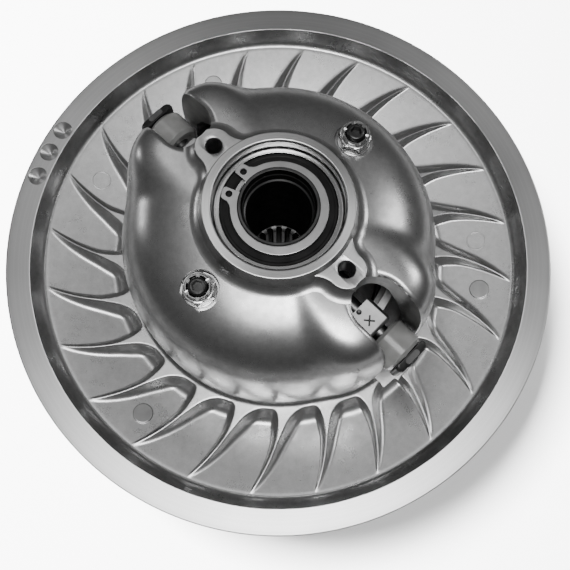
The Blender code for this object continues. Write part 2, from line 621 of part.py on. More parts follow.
def build():
    clear_scene()
    finishes = {
        "cast": material("cast_aluminium", (0.52, 0.52, 0.53), 0.38, 1.0),
        "carrier": material("machined_aluminium", (0.66, 0.66, 0.67), 0.30, 1.0),
        "post_steel": material("blackened_steel", (0.09, 0.09, 0.095), 0.42, 1.0),
        "steel": material("ground_steel", (0.48, 0.48, 0.50), 0.28, 1.0),
        "spring_steel": material("spring_steel", (0.40, 0.40, 0.41), 0.35, 1.0),
        "bearing_steel": material("bearing_steel", (0.58, 0.58, 0.60), 0.16, 1.0),
        "zinc": material("zinc_plate", (0.62, 0.62, 0.63), 0.22, 1.0),
        "bronze": material("sintered_bronze", (0.36, 0.25, 0.13), 0.45, 1.0),
        "rubber": material("seal_rubber", (0.02, 0.02, 0.02), 0.50, 0.0),
        "grey_plastic": material("grey_nylon", (0.42, 0.42, 0.42), 0.40, 0.0),
        "dark_plastic": material("dark_nylon", (0.10, 0.10, 0.10), 0.45, 0.0),
        "black_plastic": material("black_nylon", (0.03, 0.03, 0.03), 0.38, 0.0),
    }
    shaft = empty("shaft_axis")
    turning = empty("front_sheave_axis", shaft)
    sliding = empty("rear_sheave_axis", turning)

    post(finishes["post_steel"], shaft)
    helix_cam(finishes["steel"], shaft)
    outline = [(POST_SEAT_R + GAP, RIM_Z + 51.3), (22.5, RIM_Z + 51.3), (22.5, RIM_Z + 48.3),
               (POST_R + GAP, RIM_Z + 48.3), (POST_R + GAP, RIM_Z + 50.6)]
    turned("cam_spacer", outline, finishes["steel"], shaft, 24)
    middle = (BEARING_Z0 + BEARING_Z1) / 2
    outline = [(BEARING_IN_R, BEARING_Z1), (20.1, BEARING_Z1), (20.1, middle + 2.0), (19.5, middle),
               (20.1, middle - 2.0), (20.1, BEARING_Z0), (BEARING_IN_R, BEARING_Z0)]
    turned("bearing_inner_ring", outline, finishes["bearing_steel"], shaft, 28)
    circlip(finishes["spring_steel"], shaft)
    rear_retainer(finishes, shaft)

    bearing_balls(finishes["bearing_steel"], turning)
    front_sheave(finishes["cast"], turning)
    outline = [(25.2, BEARING_Z1), (BEARING_OUT_R, BEARING_Z1), (BEARING_OUT_R, BEARING_Z0),
               (25.2, BEARING_Z0), (25.2, middle - 2.0), (25.5, middle), (25.2, middle + 2.0)]
    turned("bearing_outer_ring", outline, finishes["bearing_steel"], turning, 28)
    for name, z in (("bearing_seal_front", BEARING_Z1 - 1.4), ("bearing_seal_rear", BEARING_Z0 + 0.4)):
        outline = [(20.4, z + 1.0), (24.9, z + 1.0), (24.9, z), (20.4, z)]
        turned(name, outline, finishes["rubber"], turning, 24)
    spring_cup(finishes["spring_steel"], turning)
    for number, angle in enumerate(STUD_ANGLES, 1):
        stud_set(number, angle, finishes, turning)
    spring(finishes["spring_steel"], turning)

    rear_sheave(finishes["cast"], sliding)
    roller_carrier(finishes["carrier"], sliding)
    for number, angle in enumerate(WINDOW_ANGLES, 1):
        roller_set(number, angle, finishes, sliding)
    outline = [(53.8, SPRING_Z[1] + 2.0), (59.2, SPRING_Z[1] + 2.0), (59.2, SPRING_Z[1] + GAP),
               (53.8, SPRING_Z[1] + GAP)]
    turned("spring_washer", outline, finishes["spring_steel"], sliding, 32)
    bush_spans = (("post_bush_front", (REAR_HUB_Z[1] - 9.0, REAR_HUB_Z[1] - 0.5)),
                  ("post_bush_rear", (REAR_HUB_Z[0] + 0.5, REAR_HUB_Z[0] + 9.0)))
    for name, (low, high) in bush_spans:
        outline = [(POST_R + GAP, high), (POST_R + 2.5, high), (POST_R + 2.5, low), (POST_R + GAP, low)]
        turned(name, outline, finishes["bronze"], sliding, 24)
    for number, (x, y) in enumerate(screw_places(), 1):
        cap_screw(f"carrier_screw_{number}", x, y, finishes["steel"], sliding)


build()
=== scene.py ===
"""The looks of the driven pulley set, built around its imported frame.

Lengths are in millimetres and angles in degrees, unless a name ends in _m. Heights written as
RIM_Z + value are counted from the front sheave's flat rim, as on a drawing. Each piece stands for
one CAD node: its shape follows the same formulas, with the edges, fillets, fins and threads that
the plain CAD solid leaves out.
"""

import math

import bmesh
import bpy
import numpy as np
from mathutils import Matrix, Vector


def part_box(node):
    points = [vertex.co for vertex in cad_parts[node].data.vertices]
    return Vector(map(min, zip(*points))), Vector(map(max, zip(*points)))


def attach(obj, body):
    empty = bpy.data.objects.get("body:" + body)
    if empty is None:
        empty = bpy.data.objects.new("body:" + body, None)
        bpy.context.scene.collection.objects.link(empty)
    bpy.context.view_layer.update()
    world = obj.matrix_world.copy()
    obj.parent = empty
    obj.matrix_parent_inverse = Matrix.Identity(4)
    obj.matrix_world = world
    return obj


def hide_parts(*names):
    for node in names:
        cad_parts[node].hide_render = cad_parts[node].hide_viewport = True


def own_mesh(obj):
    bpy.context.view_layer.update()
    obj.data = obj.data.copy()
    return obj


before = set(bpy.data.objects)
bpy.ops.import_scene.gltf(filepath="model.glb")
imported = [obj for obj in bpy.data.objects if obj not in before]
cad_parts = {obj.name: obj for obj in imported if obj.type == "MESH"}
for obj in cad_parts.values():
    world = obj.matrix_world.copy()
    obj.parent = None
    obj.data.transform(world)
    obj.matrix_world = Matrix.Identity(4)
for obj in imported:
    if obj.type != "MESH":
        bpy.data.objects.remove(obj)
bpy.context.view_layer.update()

MM = 0.001
GAP = 0.3                       # clearance between pieces that touch

# ---- driving dimensions, from the frame ---------------------------------------------------------
HUB_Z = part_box("front_sheave")[1].z / MM
POST_END_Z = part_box("post")[1].z / MM
RIM_Z = HUB_Z - 67.4
RIM_R = 137.5
RIM_IN_R = 125.3
BELT_SLOPE = math.tan(math.radians(13.5))
FACE_IN_R = 66.0
RIM_THICK = 10.5
BELT_GAP = 35.0
SHIFT = 22.0
TWIST = 30.0
FINS = 24
FIN_TIP_R = 119.6
FIN_TIP_ANGLE = 8.4
FIN_SWEEP = 8.5
FIN_FOOT_R = 80.0               # where a fin has its full height
COLUMNS_A_FIN = 48
WALL_FOOT_Z = RIM_Z - 9.6       # the finned face at the fins' tips
FLOOR_FALL = 9.5                # how far its floor falls from there to a fin's foot
CREST_FALL = 2.4                # how far the fins' crests fall over the same stretch

DOME_R = 76.0
DOME_BASE_Z = RIM_Z - 10.0
DOME_H = 69.0
CROWN_POWER = 3.2               # how flat the dome's crown is
WINDOW_ANGLES = (135.5, -44.5)
WINDOW_HALF_W = 11.5
WINDOW_IN_S = 57.5
CHEEK_OUT = 3.5
HUB_R = 32.2
PAD_ANGLES = (110.2, -9.8, -129.8)
PAD_S = 105.5                   # round pads in three of the pockets
PAD_R = 5.0
CAST_RING_ANGLES = (156.0, 4.7)
CAST_RING_S = 104.5             # raised plain rings in two more
DRILL_ANGLES = (150.2, 156.2, 162.4)
DRILL_S = 131.2                 # balance drillings in the rim
BOSS_R = 33.0
EAR_Z = RIM_Z + 64.0
EAR_S = 38.8
EAR_R = 8.4
EAR_HOLE_R = 3.4
STUD_ANGLES = (45.7, 225.7)
STUD_S = 47.4
NUT_TURNS = (12.0, 0.0)         # each tightened nut stopped at its own angle
STUD_R = 4.0
NUT_SEAT_Z = RIM_Z + 53.2
NUT_FLATS = 13.0
WASHER_R = 7.4
WASHER_THICK = 1.5

BEARING_Z0 = RIM_Z + 51.5
BEARING_Z1 = RIM_Z + 61.5
BEARING_IN_R = 17.8
BEARING_OUT_R = 27.5
POST_SEAT_R = 17.5
POST_R = 19.0
POST_BORE_R = 14.0
SPLINE_TEETH = 16
SPLINE_MAJOR_R = 13.0
SPLINE_MINOR_R = 11.2
SPLINE_TOP_Z = RIM_Z - 4.0

PIN_Z = RIM_Z + 20.5
PIN_R = 4.0
ROLLER_R = 10.6
ROLLER_S = (66.8, 81.0)
CAM_ROLLER_R = 9.0
CAM_ROLLER_S = (31.5, 42.4)
BUSH_R = 5.7
CAP_S = (81.4, 85.2)
CAP_HALF_W = 9.2
CAP_HALF_H = 9.8
ARM_S = (44.0, 64.5)
ARM_HALF_W = 7.5
ARM_Z = (RIM_Z + 14.0, RIM_Z + 27.0)
RELIEF_Z = ARM_Z[0] + 2.3       # the arms' inner ends are cut down to here, out to RELIEF_S
RELIEF_S = 50.9
CARRIER_RING_Z = (RIM_Z + 14.0, RIM_Z + 20.0)
CARRIER_RING_R = (43.6, 60.5)
CROSS_S = 58.5                  # the cross mark on each arm
CROSS_HALF = 2.6
DOT_S = 52.4                    # the drilled dot beside it
DOT_R = 1.3
LEG_S = (44.2, 49.6)
LEG_HALF_W = 8.2
SCREW_S = 46.6
SCREW_ASIDE = 4.4

CAM_R = 42.3
CAM_HUB_R = 27.5
CAM_VALLEY_Z = RIM_Z - 12.0
CAM_PLATEAU_Z = RIM_Z + 17.4

REAR_FLOOR_Z = RIM_Z - 37.0
REAR_BACK_Z = RIM_Z - 47.0
REAR_HUB_Z = (RIM_Z - 50.0, RIM_Z - 20.0)
REAR_RIM_Z = RIM_Z - 54.0
CUP_TOP_Z = RIM_Z - 24.6
CUP_THICK = 2.6
SPRING_Z = (RIM_Z - 29.1, RIM_Z + 11.7)
SPRING_MEAN_R = 56.7
SPRING_WIRE_R = 1.9
SPRING_TURNS = 4


# ---- mesh helpers -------------------------------------------------------------------------------
def add_object(name, verts, faces, sharp=35):
    """A new object from vertices in millimetres, with outward faces, sharp only past an angle."""
    mesh = bpy.data.meshes.new(name)
    mesh.from_pydata((np.asarray(verts, float) * MM).tolist(), [], faces)
    work = bmesh.new()
    work.from_mesh(mesh)
    bmesh.ops.recalc_face_normals(work, faces=work.faces)
    work.to_mesh(mesh)
    work.free()
    mesh.shade_smooth()
    mesh.set_sharp_from_angle(angle=math.radians(sharp))
    made = bpy.data.objects.new(name, mesh)
    bpy.context.scene.collection.objects.link(made)
    return made


def ring_faces(count, columns, closed):
    """Quads between rings of columns points; closed also joins the last ring to the first."""
    faces = []
    for i in range(count if closed else count - 1):
        here = i * columns
        there = (i + 1) % count * columns
        for j in range(columns):
            side = (j + 1) % columns
            faces.append((here + j, here + side, there + side, there + j))
    return faces


def lathe(name, rings, sharp=35):
    """A closed ring-shaped body from an array of points of shape (rings, columns, 3)."""
    rings = np.asarray(rings, float)
    count, columns = rings.shape[:2]
    return add_object(name, rings.reshape(-1, 3), ring_faces(count, columns, True), sharp)


def capped(name, rings, sharp=35):
    """A solid body from rings of points, with a flat face over the first and the last ring."""
    rings = np.asarray(rings, float)
    count, columns = rings.shape[:2]
    faces = ring_faces(count, columns, False)
    faces.append(tuple(range(columns)))
    faces.append(tuple(range((count - 1) * columns, count * columns)))
    return add_object(name, rings.reshape(-1, 3), faces, sharp)


def polar_ring(r, z, angles):
    """Points at radius r and height z (numbers or one value a column) at the given angles."""
    turn = np.radians(angles)
    return np.stack([r * np.cos(turn), r * np.sin(turn), np.broadcast_to(z, turn.shape)], axis=-1)


def full_turn(columns):
    return np.arange(columns) * 360.0 / columns


def rounded(outline, radius=0.4, closed=True, steps=3):
    """The outline with its corners rounded. A point may carry a radius of its own as a third value."""
    made = []
    count = len(outline)
    for i, corner in enumerate(outline):
        here = np.array(corner[:2], float)
        wanted = corner[2] if len(corner) > 2 else radius
        if wanted == 0 or not closed and i in (0, count - 1):
            made.append(here)
            continue
        back = np.array(outline[i - 1][:2], float) - here
        ahead = np.array(outline[(i + 1) % count][:2], float) - here
        back_length = np.linalg.norm(back)
        ahead_length = np.linalg.norm(ahead)
        back /= back_length
        ahead /= ahead_length
        half = math.acos(float(np.clip(back @ ahead, -1, 1))) / 2
        reach = min(wanted / math.tan(half), 0.35 * back_length, 0.35 * ahead_length)
        made.append(here + back * reach * 1.25)
        for k in range(steps + 1):
            t = k / steps
            bend = (1 - t) ** 2 * back + t ** 2 * ahead
            made.append(here + bend * reach)
        made.append(here + ahead * reach * 1.25)
    return made


def turned(name, outline, columns=96, radius=0.3):
    """A ring turned about Z from a closed outline of (radius, height) points, edges rounded."""
    angles = full_turn(columns)
    return lathe(name, [polar_ring(r, z, angles) for r, z in rounded(outline, radius)])


def spindle(name, outline, columns=64, radius=0.3):
    """A solid round body turned about Z; the outline runs from its first end to its last."""
    angles = full_turn(columns)
    return capped(name, [polar_ring(r, z, angles) for r, z in rounded(outline, radius, False)])


def rod(name, r, z0, z1, columns=32):
    """A plain round body along Z, used as a drill."""
    return spindle(name, [(r, z0), (r, z1)], columns, 0.0)


def prism(name, outline, z0, z1):
    """A flat body extruded along Z from an outline of (x, y) points."""
    outline = np.asarray(outline, float)
    rings = [np.column_stack([outline, np.full(len(outline), z)]) for z in (z0, z1)]
    return capped(name, rings)


def block(name, low, high):
    """A box between two corners."""
    outline = [(low[0], low[1]), (high[0], low[1]), (high[0], high[1]), (low[0], high[1])]
    return prism(name, outline, low[2], high[2])


def place(angle=0.0, s=0.0, z=0.0):
    """Where s lies out along a radius at an angle, at height z."""
    return Matrix.Rotation(math.radians(angle), 4, "Z") @ Matrix.Translation((s * MM, 0.0, z * MM))


def plan_shift(x, y):
    return Matrix.Translation((x * MM, y * MM, 0.0))


def on_pin(angle, s):
    """A place on a window's radial pin line, with Z turned to point outwards."""
    return place(angle, s, PIN_Z) @ Matrix.Rotation(math.radians(90), 4, "Y")


def move(made, matrix):
    """Bake a placement into the mesh, so that texture coordinates stay those of the object."""
    made.data.transform(matrix)
    return made


def settle(target):
    """Turn the object's modifiers into its mesh."""
    bpy.context.view_layer.update()
    seen = target.evaluated_get(bpy.context.evaluated_depsgraph_get())
    mesh = bpy.data.meshes.new_from_object(seen)
    old = target.data
    target.modifiers.clear()
    target.data = mesh
    bpy.data.meshes.remove(old)


def even_shading(target, sharp=35):
    """Smooth shading that keeps flat faces flat and edges past an angle hard."""
    stale = target.data.attributes.get("custom_normal")
    if stale:
        target.data.attributes.remove(stale)
    target.data.shade_smooth()
    target.data.set_sharp_from_angle(angle=math.radians(sharp))
    step = target.modifiers.new("even", "WEIGHTED_NORMAL")
    step.keep_sharp = True
    settle(target)


def combine(target, tools, operation="DIFFERENCE", sharp=35):
    """Cut the target with each tool, or join them, and remove the tools."""
    for tool in tools:
        step = target.modifiers.new(tool.name, "BOOLEAN")
        step.operation = operation
        step.solver = "MANIFOLD"
        step.object = tool
    settle(target)
    for tool in tools:
        bpy.data.objects.remove(tool)
    even_shading(target, sharp)


def soften(target, width, segments=2, angle=40):
    """Round the object's hard edges."""
    step = target.modifiers.new("soften", "BEVEL")
    step.width = width * MM
    step.segments = segments
    step.limit_method = "ANGLE"
    step.angle_limit = math.radians(angle)
    settle(target)
    even_shading(target)


def show(piece, body, finish, slot, *nodes):
    """Give the piece its finish, let it ride on a body and stand for CAD nodes."""
    if finish is not None:
        piece.data.materials.clear()
        piece.data.materials.append(finish)
    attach(piece, body)
    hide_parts(*nodes)


def face_facts(piece):
    """The x, y, z and distance from the axis of each face's middle in millimetres, and its normal."""
    count = len(piece.data.polygons)
    middle = np.zeros(count * 3, np.float32)
    normal = np.zeros(count * 3, np.float32)
    piece.data.polygons.foreach_get("center", middle)
    piece.data.polygons.foreach_get("normal", normal)
    x, y, z = (middle.reshape(-1, 3) / MM).T
    return x, y, z, np.hypot(x, y), normal.reshape(-1, 3)


def paint(piece, finishes, number):
    """Give each face the finish with its number."""
    piece.data.materials.clear()
    for finish in finishes:
        piece.data.materials.append(finish)
    piece.data.polygons.foreach_set("material_index", number.astype(np.int32))
    piece.data.update()


# ---- materials ----------------------------------------------------------------------------------
def map_range(tree, value, start, end, low, high, kind="LINEAR"):
    """Nodes that map a value from start..end to low..high."""
    node = tree.nodes.new("ShaderNodeMapRange")
    node.interpolation_type = kind
    for name, number in (("From Min", start), ("From Max", end), ("To Min", low), ("To Max", high)):
        node.inputs[name].default_value = number
    tree.links.new(value, node.inputs["Value"])
    return node.outputs["Result"]


class Nodes:
    """A Principled material, with the few node patterns that the finishes share."""

    def __init__(self, name, roughness, metallic, **sockets):
        self.material = bpy.data.materials.new(name)
        self.material.use_nodes = True
        self.tree = self.material.node_tree
        self.shader = self.tree.nodes["Principled BSDF"]
        self.shader.inputs["Roughness"].default_value = roughness
        self.shader.inputs["Metallic"].default_value = metallic
        for socket, value in sockets.items():
            self.shader.inputs[socket.replace("_", " ")].default_value = value
        self.where = self.tree.nodes.new("ShaderNodeTexCoord").outputs["Object"]

    def link(self, out, into):
        self.tree.links.new(out, into)

    def add(self, first, second):
        """The sum of two patterns."""
        node = self.tree.nodes.new("ShaderNodeMath")
        for socket, value in zip(node.inputs, (first, second)):
            self.link(value, socket)
        return node.outputs["Value"]

    def noise(self, size, detail=2.0, where=None, roughness=0.5):
        """Noise with features about size millimetres across."""
        node = self.tree.nodes.new("ShaderNodeTexNoise")
        node.inputs["Scale"].default_value = 1.0 / (size * MM)
        node.inputs["Detail"].default_value = detail
        node.inputs["Roughness"].default_value = roughness
        self.link(where or self.where, node.inputs["Vector"])
        return node.outputs["Fac"]

    def spread(self, value, low, high, start=0.3, end=0.7):
        """Map a pattern from start..end to low..high."""
        return map_range(self.tree, value, start, end, low, high)

    def grey(self, value):
        """Use a pattern of brightness as the base colour."""
        node = self.tree.nodes.new("ShaderNodeCombineColor")
        for socket in node.inputs[:3]:
            self.link(value, socket)
        self.link(node.outputs["Color"], self.shader.inputs["Base Color"])

    def tint(self, value, dark, light):
        """Mix the base colour between two colours by a pattern from 0 to 1."""
        node = self.tree.nodes.new("ShaderNodeMix")
        node.data_type = "RGBA"
        node.inputs["A"].default_value = (*dark, 1.0)
        node.inputs["B"].default_value = (*light, 1.0)
        self.link(value, node.inputs["Factor"])
        self.link(node.outputs["Result"], self.shader.inputs["Base Color"])

    def rough(self, value):
        self.link(value, self.shader.inputs["Roughness"])

    def bump(self, height, depth, strength=1.0):
        """Add relief of the given depth in millimetres to what is there already."""
        node = self.tree.nodes.new("ShaderNodeBump")
        node.inputs["Strength"].default_value = strength
        node.inputs["Distance"].default_value = depth * MM
        self.link(height, node.inputs["Height"])
        before = self.shader.inputs["Normal"].links
        if before:
            self.link(before[0].from_socket, node.inputs["Normal"])
        self.link(node.outputs["Normal"], self.shader.inputs["Normal"])

    def radius(self):
        """The distance from the object's Z axis, as a coordinate along one line."""
        flat = self.tree.nodes.new("ShaderNodeVectorMath")
        flat.operation = "MULTIPLY"
        flat.inputs[1].default_value = (1.0, 1.0, 0.0)
        self.link(self.where, flat.inputs[0])
        length = self.tree.nodes.new("ShaderNodeVectorMath")
        length.operation = "LENGTH"
        self.link(flat.outputs["Vector"], length.inputs[0])
        line = self.tree.nodes.new("ShaderNodeCombineXYZ")
        self.link(length.outputs["Value"], line.inputs["X"])
        return line.outputs["Vector"]

    def turning_grain(self):
        """Point the highlight's direction round the axis, as on a turned face."""
        tangent = self.tree.nodes.new("ShaderNodeTangent")
        tangent.direction_type = "RADIAL"
        tangent.axis = "Z"
        self.link(tangent.outputs["Tangent"], self.shader.inputs["Tangent"])


def cast_aluminium():
    """Casting skin: fine grain and a mottled tone, glossier where it is brighter."""
    m = Nodes("cast aluminium", 0.38, 1.0)
    stain = m.noise(14.0, 6.0, roughness=0.7)
    grain = m.noise(0.5, 3.0, roughness=0.6)
    blotch = m.add(m.spread(stain, 0.40, 0.57), m.spread(m.noise(3.0, 4.0), -0.035, 0.035))
    m.grey(m.add(blotch, m.spread(grain, -0.03, 0.03)))
    m.rough(m.add(m.spread(stain, 0.37, 0.25), m.spread(grain, -0.02, 0.02)))
    m.bump(m.noise(14.0, 2.0), 0.05, 0.5)
    m.bump(grain, 0.008, 0.6)
    return m.material


def turned_aluminium(name="turned aluminium", low=0.55, high=0.65, roughness=0.34):
    """Lathe-turned face: fine rings round the axis that draw highlights out sideways."""
    m = Nodes(name, roughness, 1.0, Anisotropic=0.6)
    line = m.radius()
    rings = m.noise(0.3, 2.0, line)
    m.grey(m.add(m.spread(m.noise(2.5, 2.0, line), low, high), m.spread(rings, -0.03, 0.03)))
    m.rough(m.spread(m.noise(30.0, 3.0), roughness - 0.015, roughness + 0.02))
    m.bump(rings, 0.006, 0.5)
    m.turning_grain()
    return m.material


def plain_metal(name, low, high, roughness, grain_size=0.8, depth=0.02, spot=6.0):
    """A metal with a soft change of tone over it and a fine grain."""
    m = Nodes(name, roughness, 1.0)
    m.grey(m.spread(m.noise(spot, 4.0), low, high))
    grain = m.noise(grain_size, 3.0)
    m.rough(m.spread(grain, roughness * 0.93, roughness * 1.08))
    m.bump(grain, depth * 0.4, 0.5)
    return m.material


def plastic(name, dark, light, roughness, depth=0.01, shine=0.4):
    """Moulded nylon: a slight mottle, fine texture and a soft gloss."""
    m = Nodes(name, roughness, 0.0, Specular_IOR_Level=shine)
    m.tint(m.spread(m.noise(7.0, 3.0), 0.0, 1.0), dark, light)
    grain = m.noise(0.35, 2.0)
    m.rough(m.spread(m.noise(2.5, 3.0), roughness * 0.85, roughness * 1.2))
    m.bump(grain, depth, 0.5)
    return m.material


def bronze():
    m = Nodes("sintered bronze", 0.45, 1.0)
    m.tint(m.spread(m.noise(1.2, 4.0), 0.0, 1.0), (0.28, 0.19, 0.10), (0.46, 0.32, 0.17))
    m.bump(m.noise(0.4, 3.0), 0.03, 0.6)
    return m.material


def make_finishes():
    return {
        "cast": cast_aluminium(),
        "turned": turned_aluminium(),
        "hub": turned_aluminium("turned hub", 0.50, 0.60, 0.30),
        "carrier": plain_metal("machined carrier", 0.40, 0.52, 0.44, 0.5, 0.01),
        # painted shade: a dark metal colour for the window walls, the dome's inside and the roller pins,
        # which lie in shade
        "slot": plain_metal("dark metal for painted shade", 0.16, 0.24, 0.36, 1.2),
        "pad": plain_metal("flat pad", 0.28, 0.36, 0.34),
        "post": plain_metal("blackened steel", 0.045, 0.08, 0.40, 0.5, 0.004),
        "steel": plain_metal("ground steel", 0.50, 0.64, 0.26, 0.8, 0.006),
        "spring": plain_metal("spring steel", 0.26, 0.38, 0.32, 0.8, 0.006),
        "clip": plain_metal("clip steel", 0.42, 0.52, 0.32, 0.6, 0.004),
        "bearing": plain_metal("bearing steel", 0.55, 0.65, 0.18, 0.5, 0.002),
        "zinc": plain_metal("zinc plate", 0.46, 0.58, 0.22, 1.0, 0.001),
        "bronze": bronze(),
        "rubber": plastic("seal rubber", (0.006, 0.006, 0.006), (0.014, 0.014, 0.014), 0.40, 0.006, 0.12),
        "grey": plastic("grey nylon", (0.22, 0.22, 0.215), (0.29, 0.29, 0.285), 0.20),
        "dark": plastic("dark nylon", (0.05, 0.05, 0.05), (0.09, 0.09, 0.09), 0.42),
        # also laid on the carrier as painted shade in its grooves, dot and cut-down floors
        "black": plastic("black nylon and painted shade", (0.010, 0.010, 0.010), (0.02, 0.02, 0.02), 0.34),
    }


# ---- the sheaves' surfaces ----------------------------------------------------------------------
def smooth_step(low, high, value):
    share = np.clip((value - low) / (high - low), 0.0, 1.0)
    return share * share * (3.0 - 2.0 * share)


def nearest_offset(angles, targets):
    """The smallest signed angle from each angle to one of the targets."""
    differences = np.stack([(angles - t + 180.0) % 360.0 - 180.0 for t in targets])
    pick = np.argmin(np.abs(differences), axis=0)
    return np.take_along_axis(differences, pick[None], axis=0)[0]


def window_share(angles, start, width):
    """1 beside a window, softly falling to 0 over width degrees from start degrees off it."""
    share = np.clip((np.abs(nearest_offset(angles, WINDOW_ANGLES)) - start) / width, 0.0, 1.0)
    return 1.0 - share ** 3 * (10.0 - 15.0 * share + 6.0 * share ** 2)


def dome_radius(angles):
    return DOME_R + CHEEK_OUT * window_share(angles, 11.0, 25.0)


def dome_power(angles):
    """How square the dome's shoulder is: round away from the windows, square at the cheeks."""
    return 4.0 + 10.0 * window_share(angles, 10.0, 38.0) ** 2.2


def dome_ring(psi, angles):
    """Where a ray at psi from the dome's base centre leaves the dome, whose section is a superellipse."""
    power = dome_power(angles)
    base = dome_radius(angles)
    sine = math.sin(math.radians(psi))
    cosine = math.cos(math.radians(psi))
    low = np.zeros_like(angles)
    high = np.full_like(angles, 120.0)
    for _ in range(40):
        middle = (low + high) / 2
        inside = (middle * sine / base) ** power + (middle * cosine / DOME_H) ** CROWN_POWER < 1.0
        low = np.where(inside, middle, low)
        high = np.where(inside, high, middle)
    return low * sine, DOME_BASE_Z + low * cosine


def dome_height(x, y):
    """The dome's height over a place in plan near its crown."""
    angles = np.degrees(np.arctan2(y, x))
    share = np.clip(np.hypot(x, y) / dome_radius(angles), 0.0, 1.0)
    power = dome_power(angles)
    return DOME_BASE_Z + DOME_H * (1.0 - share ** power) ** (1 / CROWN_POWER)


def belt_front_z(r):
    return RIM_Z - RIM_THICK - (RIM_R - r) * BELT_SLOPE


def belt_rear_z(r):
    return RIM_Z - RIM_THICK - BELT_GAP + (RIM_R - r) * BELT_SLOPE


def sweep(r):
    """How far the fins have leaned round the axis at radius r."""
    share = np.clip((FIN_TIP_R - r) / (FIN_TIP_R - FIN_FOOT_R), 0.0, 1.0)
    return FIN_SWEEP * (1.3 * share - 0.3 * share * share)


def fin_columns():
    """The angle of each column at the fin tips, and its offset from the nearest fin's crest."""
    t = np.arange(COLUMNS_A_FIN) / (COLUMNS_A_FIN / 2) - 1.0
    offsets = 180.0 / FINS * (0.5 * t + 0.5 * t ** 3)
    middles = FIN_TIP_ANGLE + np.arange(FINS) * 360.0 / FINS
    angles = (middles[:, None] + offsets[None, :]).ravel()
    return angles, np.tile(offsets, FINS)


def fin_nearness(r, offsets):
    """How near a place is to a fin: 1 on the crest, 0 where the flank's hollow ends on the floor."""
    share = np.clip((FIN_TIP_R - r) / (FIN_TIP_R - FIN_FOOT_R), 0.0, 1.0)
    across = r * np.radians(offsets)
    crest = 0.25 + 2.0 * smooth_step(0.0, 1.0, np.clip((97.0 - r) / 16.0, 0.0, 1.0))
    steep = 0.7 + 3.6 * share
    gentle = 1.4 + 7.6 * share ** 0.75
    beyond = np.where(across < 0, (-across - crest) / steep, (across - crest) / gentle)
    return 1.0 - np.clip(beyond, 0.0, 1.0)


def ledge_nearness(r, ledge_r):
    """How near a place is to the step round the dome's foot: 1 on its flat top."""
    return 1.0 - np.clip((r - ledge_r - 2.6) / 9.0, 0.0, 1.0)


def hollow_rise(first, second):
    """Two hollow flanks joined with round corners in plan: 0 on the floor, 1 on top."""
    near = np.minimum(np.hypot(first, second), 1.0)
    return 1.0 - (1.0 - near ** 1.9) ** 1.25


def pocket_ring(f, base, offsets):
    """One ring of the finned face, f from 0 at the outer wall's foot to 1 at the dome's foot."""
    inner = dome_radius(base + FIN_SWEEP) + 0.3
    r = FIN_TIP_R + (inner - FIN_TIP_R) * f
    share = (FIN_TIP_R - r) / (FIN_TIP_R - FIN_FOOT_R)
    floor = WALL_FOOT_Z - FLOOR_FALL * share
    crest = WALL_FOOT_Z - CREST_FALL * share
    joined = hollow_rise(fin_nearness(r, offsets), ledge_nearness(r, inner))
    crevice = 0.9 * np.exp(-((r - inner) / 0.8) ** 2)
    return polar_ring(r, floor + (crest - floor) * joined - crevice, base + sweep(r))


def window_distance(x, y):
    """How far a place in plan lies outside the nearest window's outline."""
    turn = np.radians(nearest_offset(np.degrees(np.arctan2(y, x)), WINDOW_ANGLES))
    s = np.hypot(x, y) * np.cos(turn)
    across = np.hypot(x, y) * np.sin(turn)
    return np.where(s > WINDOW_IN_S, np.abs(across), np.hypot(s - WINDOW_IN_S, across)) - WINDOW_HALF_W


def dome_skin(psi, angles):
    """One ring of the dome, with the rounded lips along the windows."""
    r, z = dome_ring(psi, angles)
    base = dome_radius(angles)
    power = dome_power(angles)
    out = power / base * (r / base) ** (power - 1)
    up = CROWN_POWER / DOME_H * np.clip((z - DOME_BASE_Z) / DOME_H, 0.0, 1.0) ** (CROWN_POWER - 1.0)
    length = np.hypot(out, up)
    turn = np.radians(angles)
    near = 1.0 - np.clip(window_distance(r * np.cos(turn), r * np.sin(turn)) / 2.2, 0.0, 1.0)
    sink = near ** 2
    return polar_ring(r - sink * out / length, z - sink * up / length, angles)


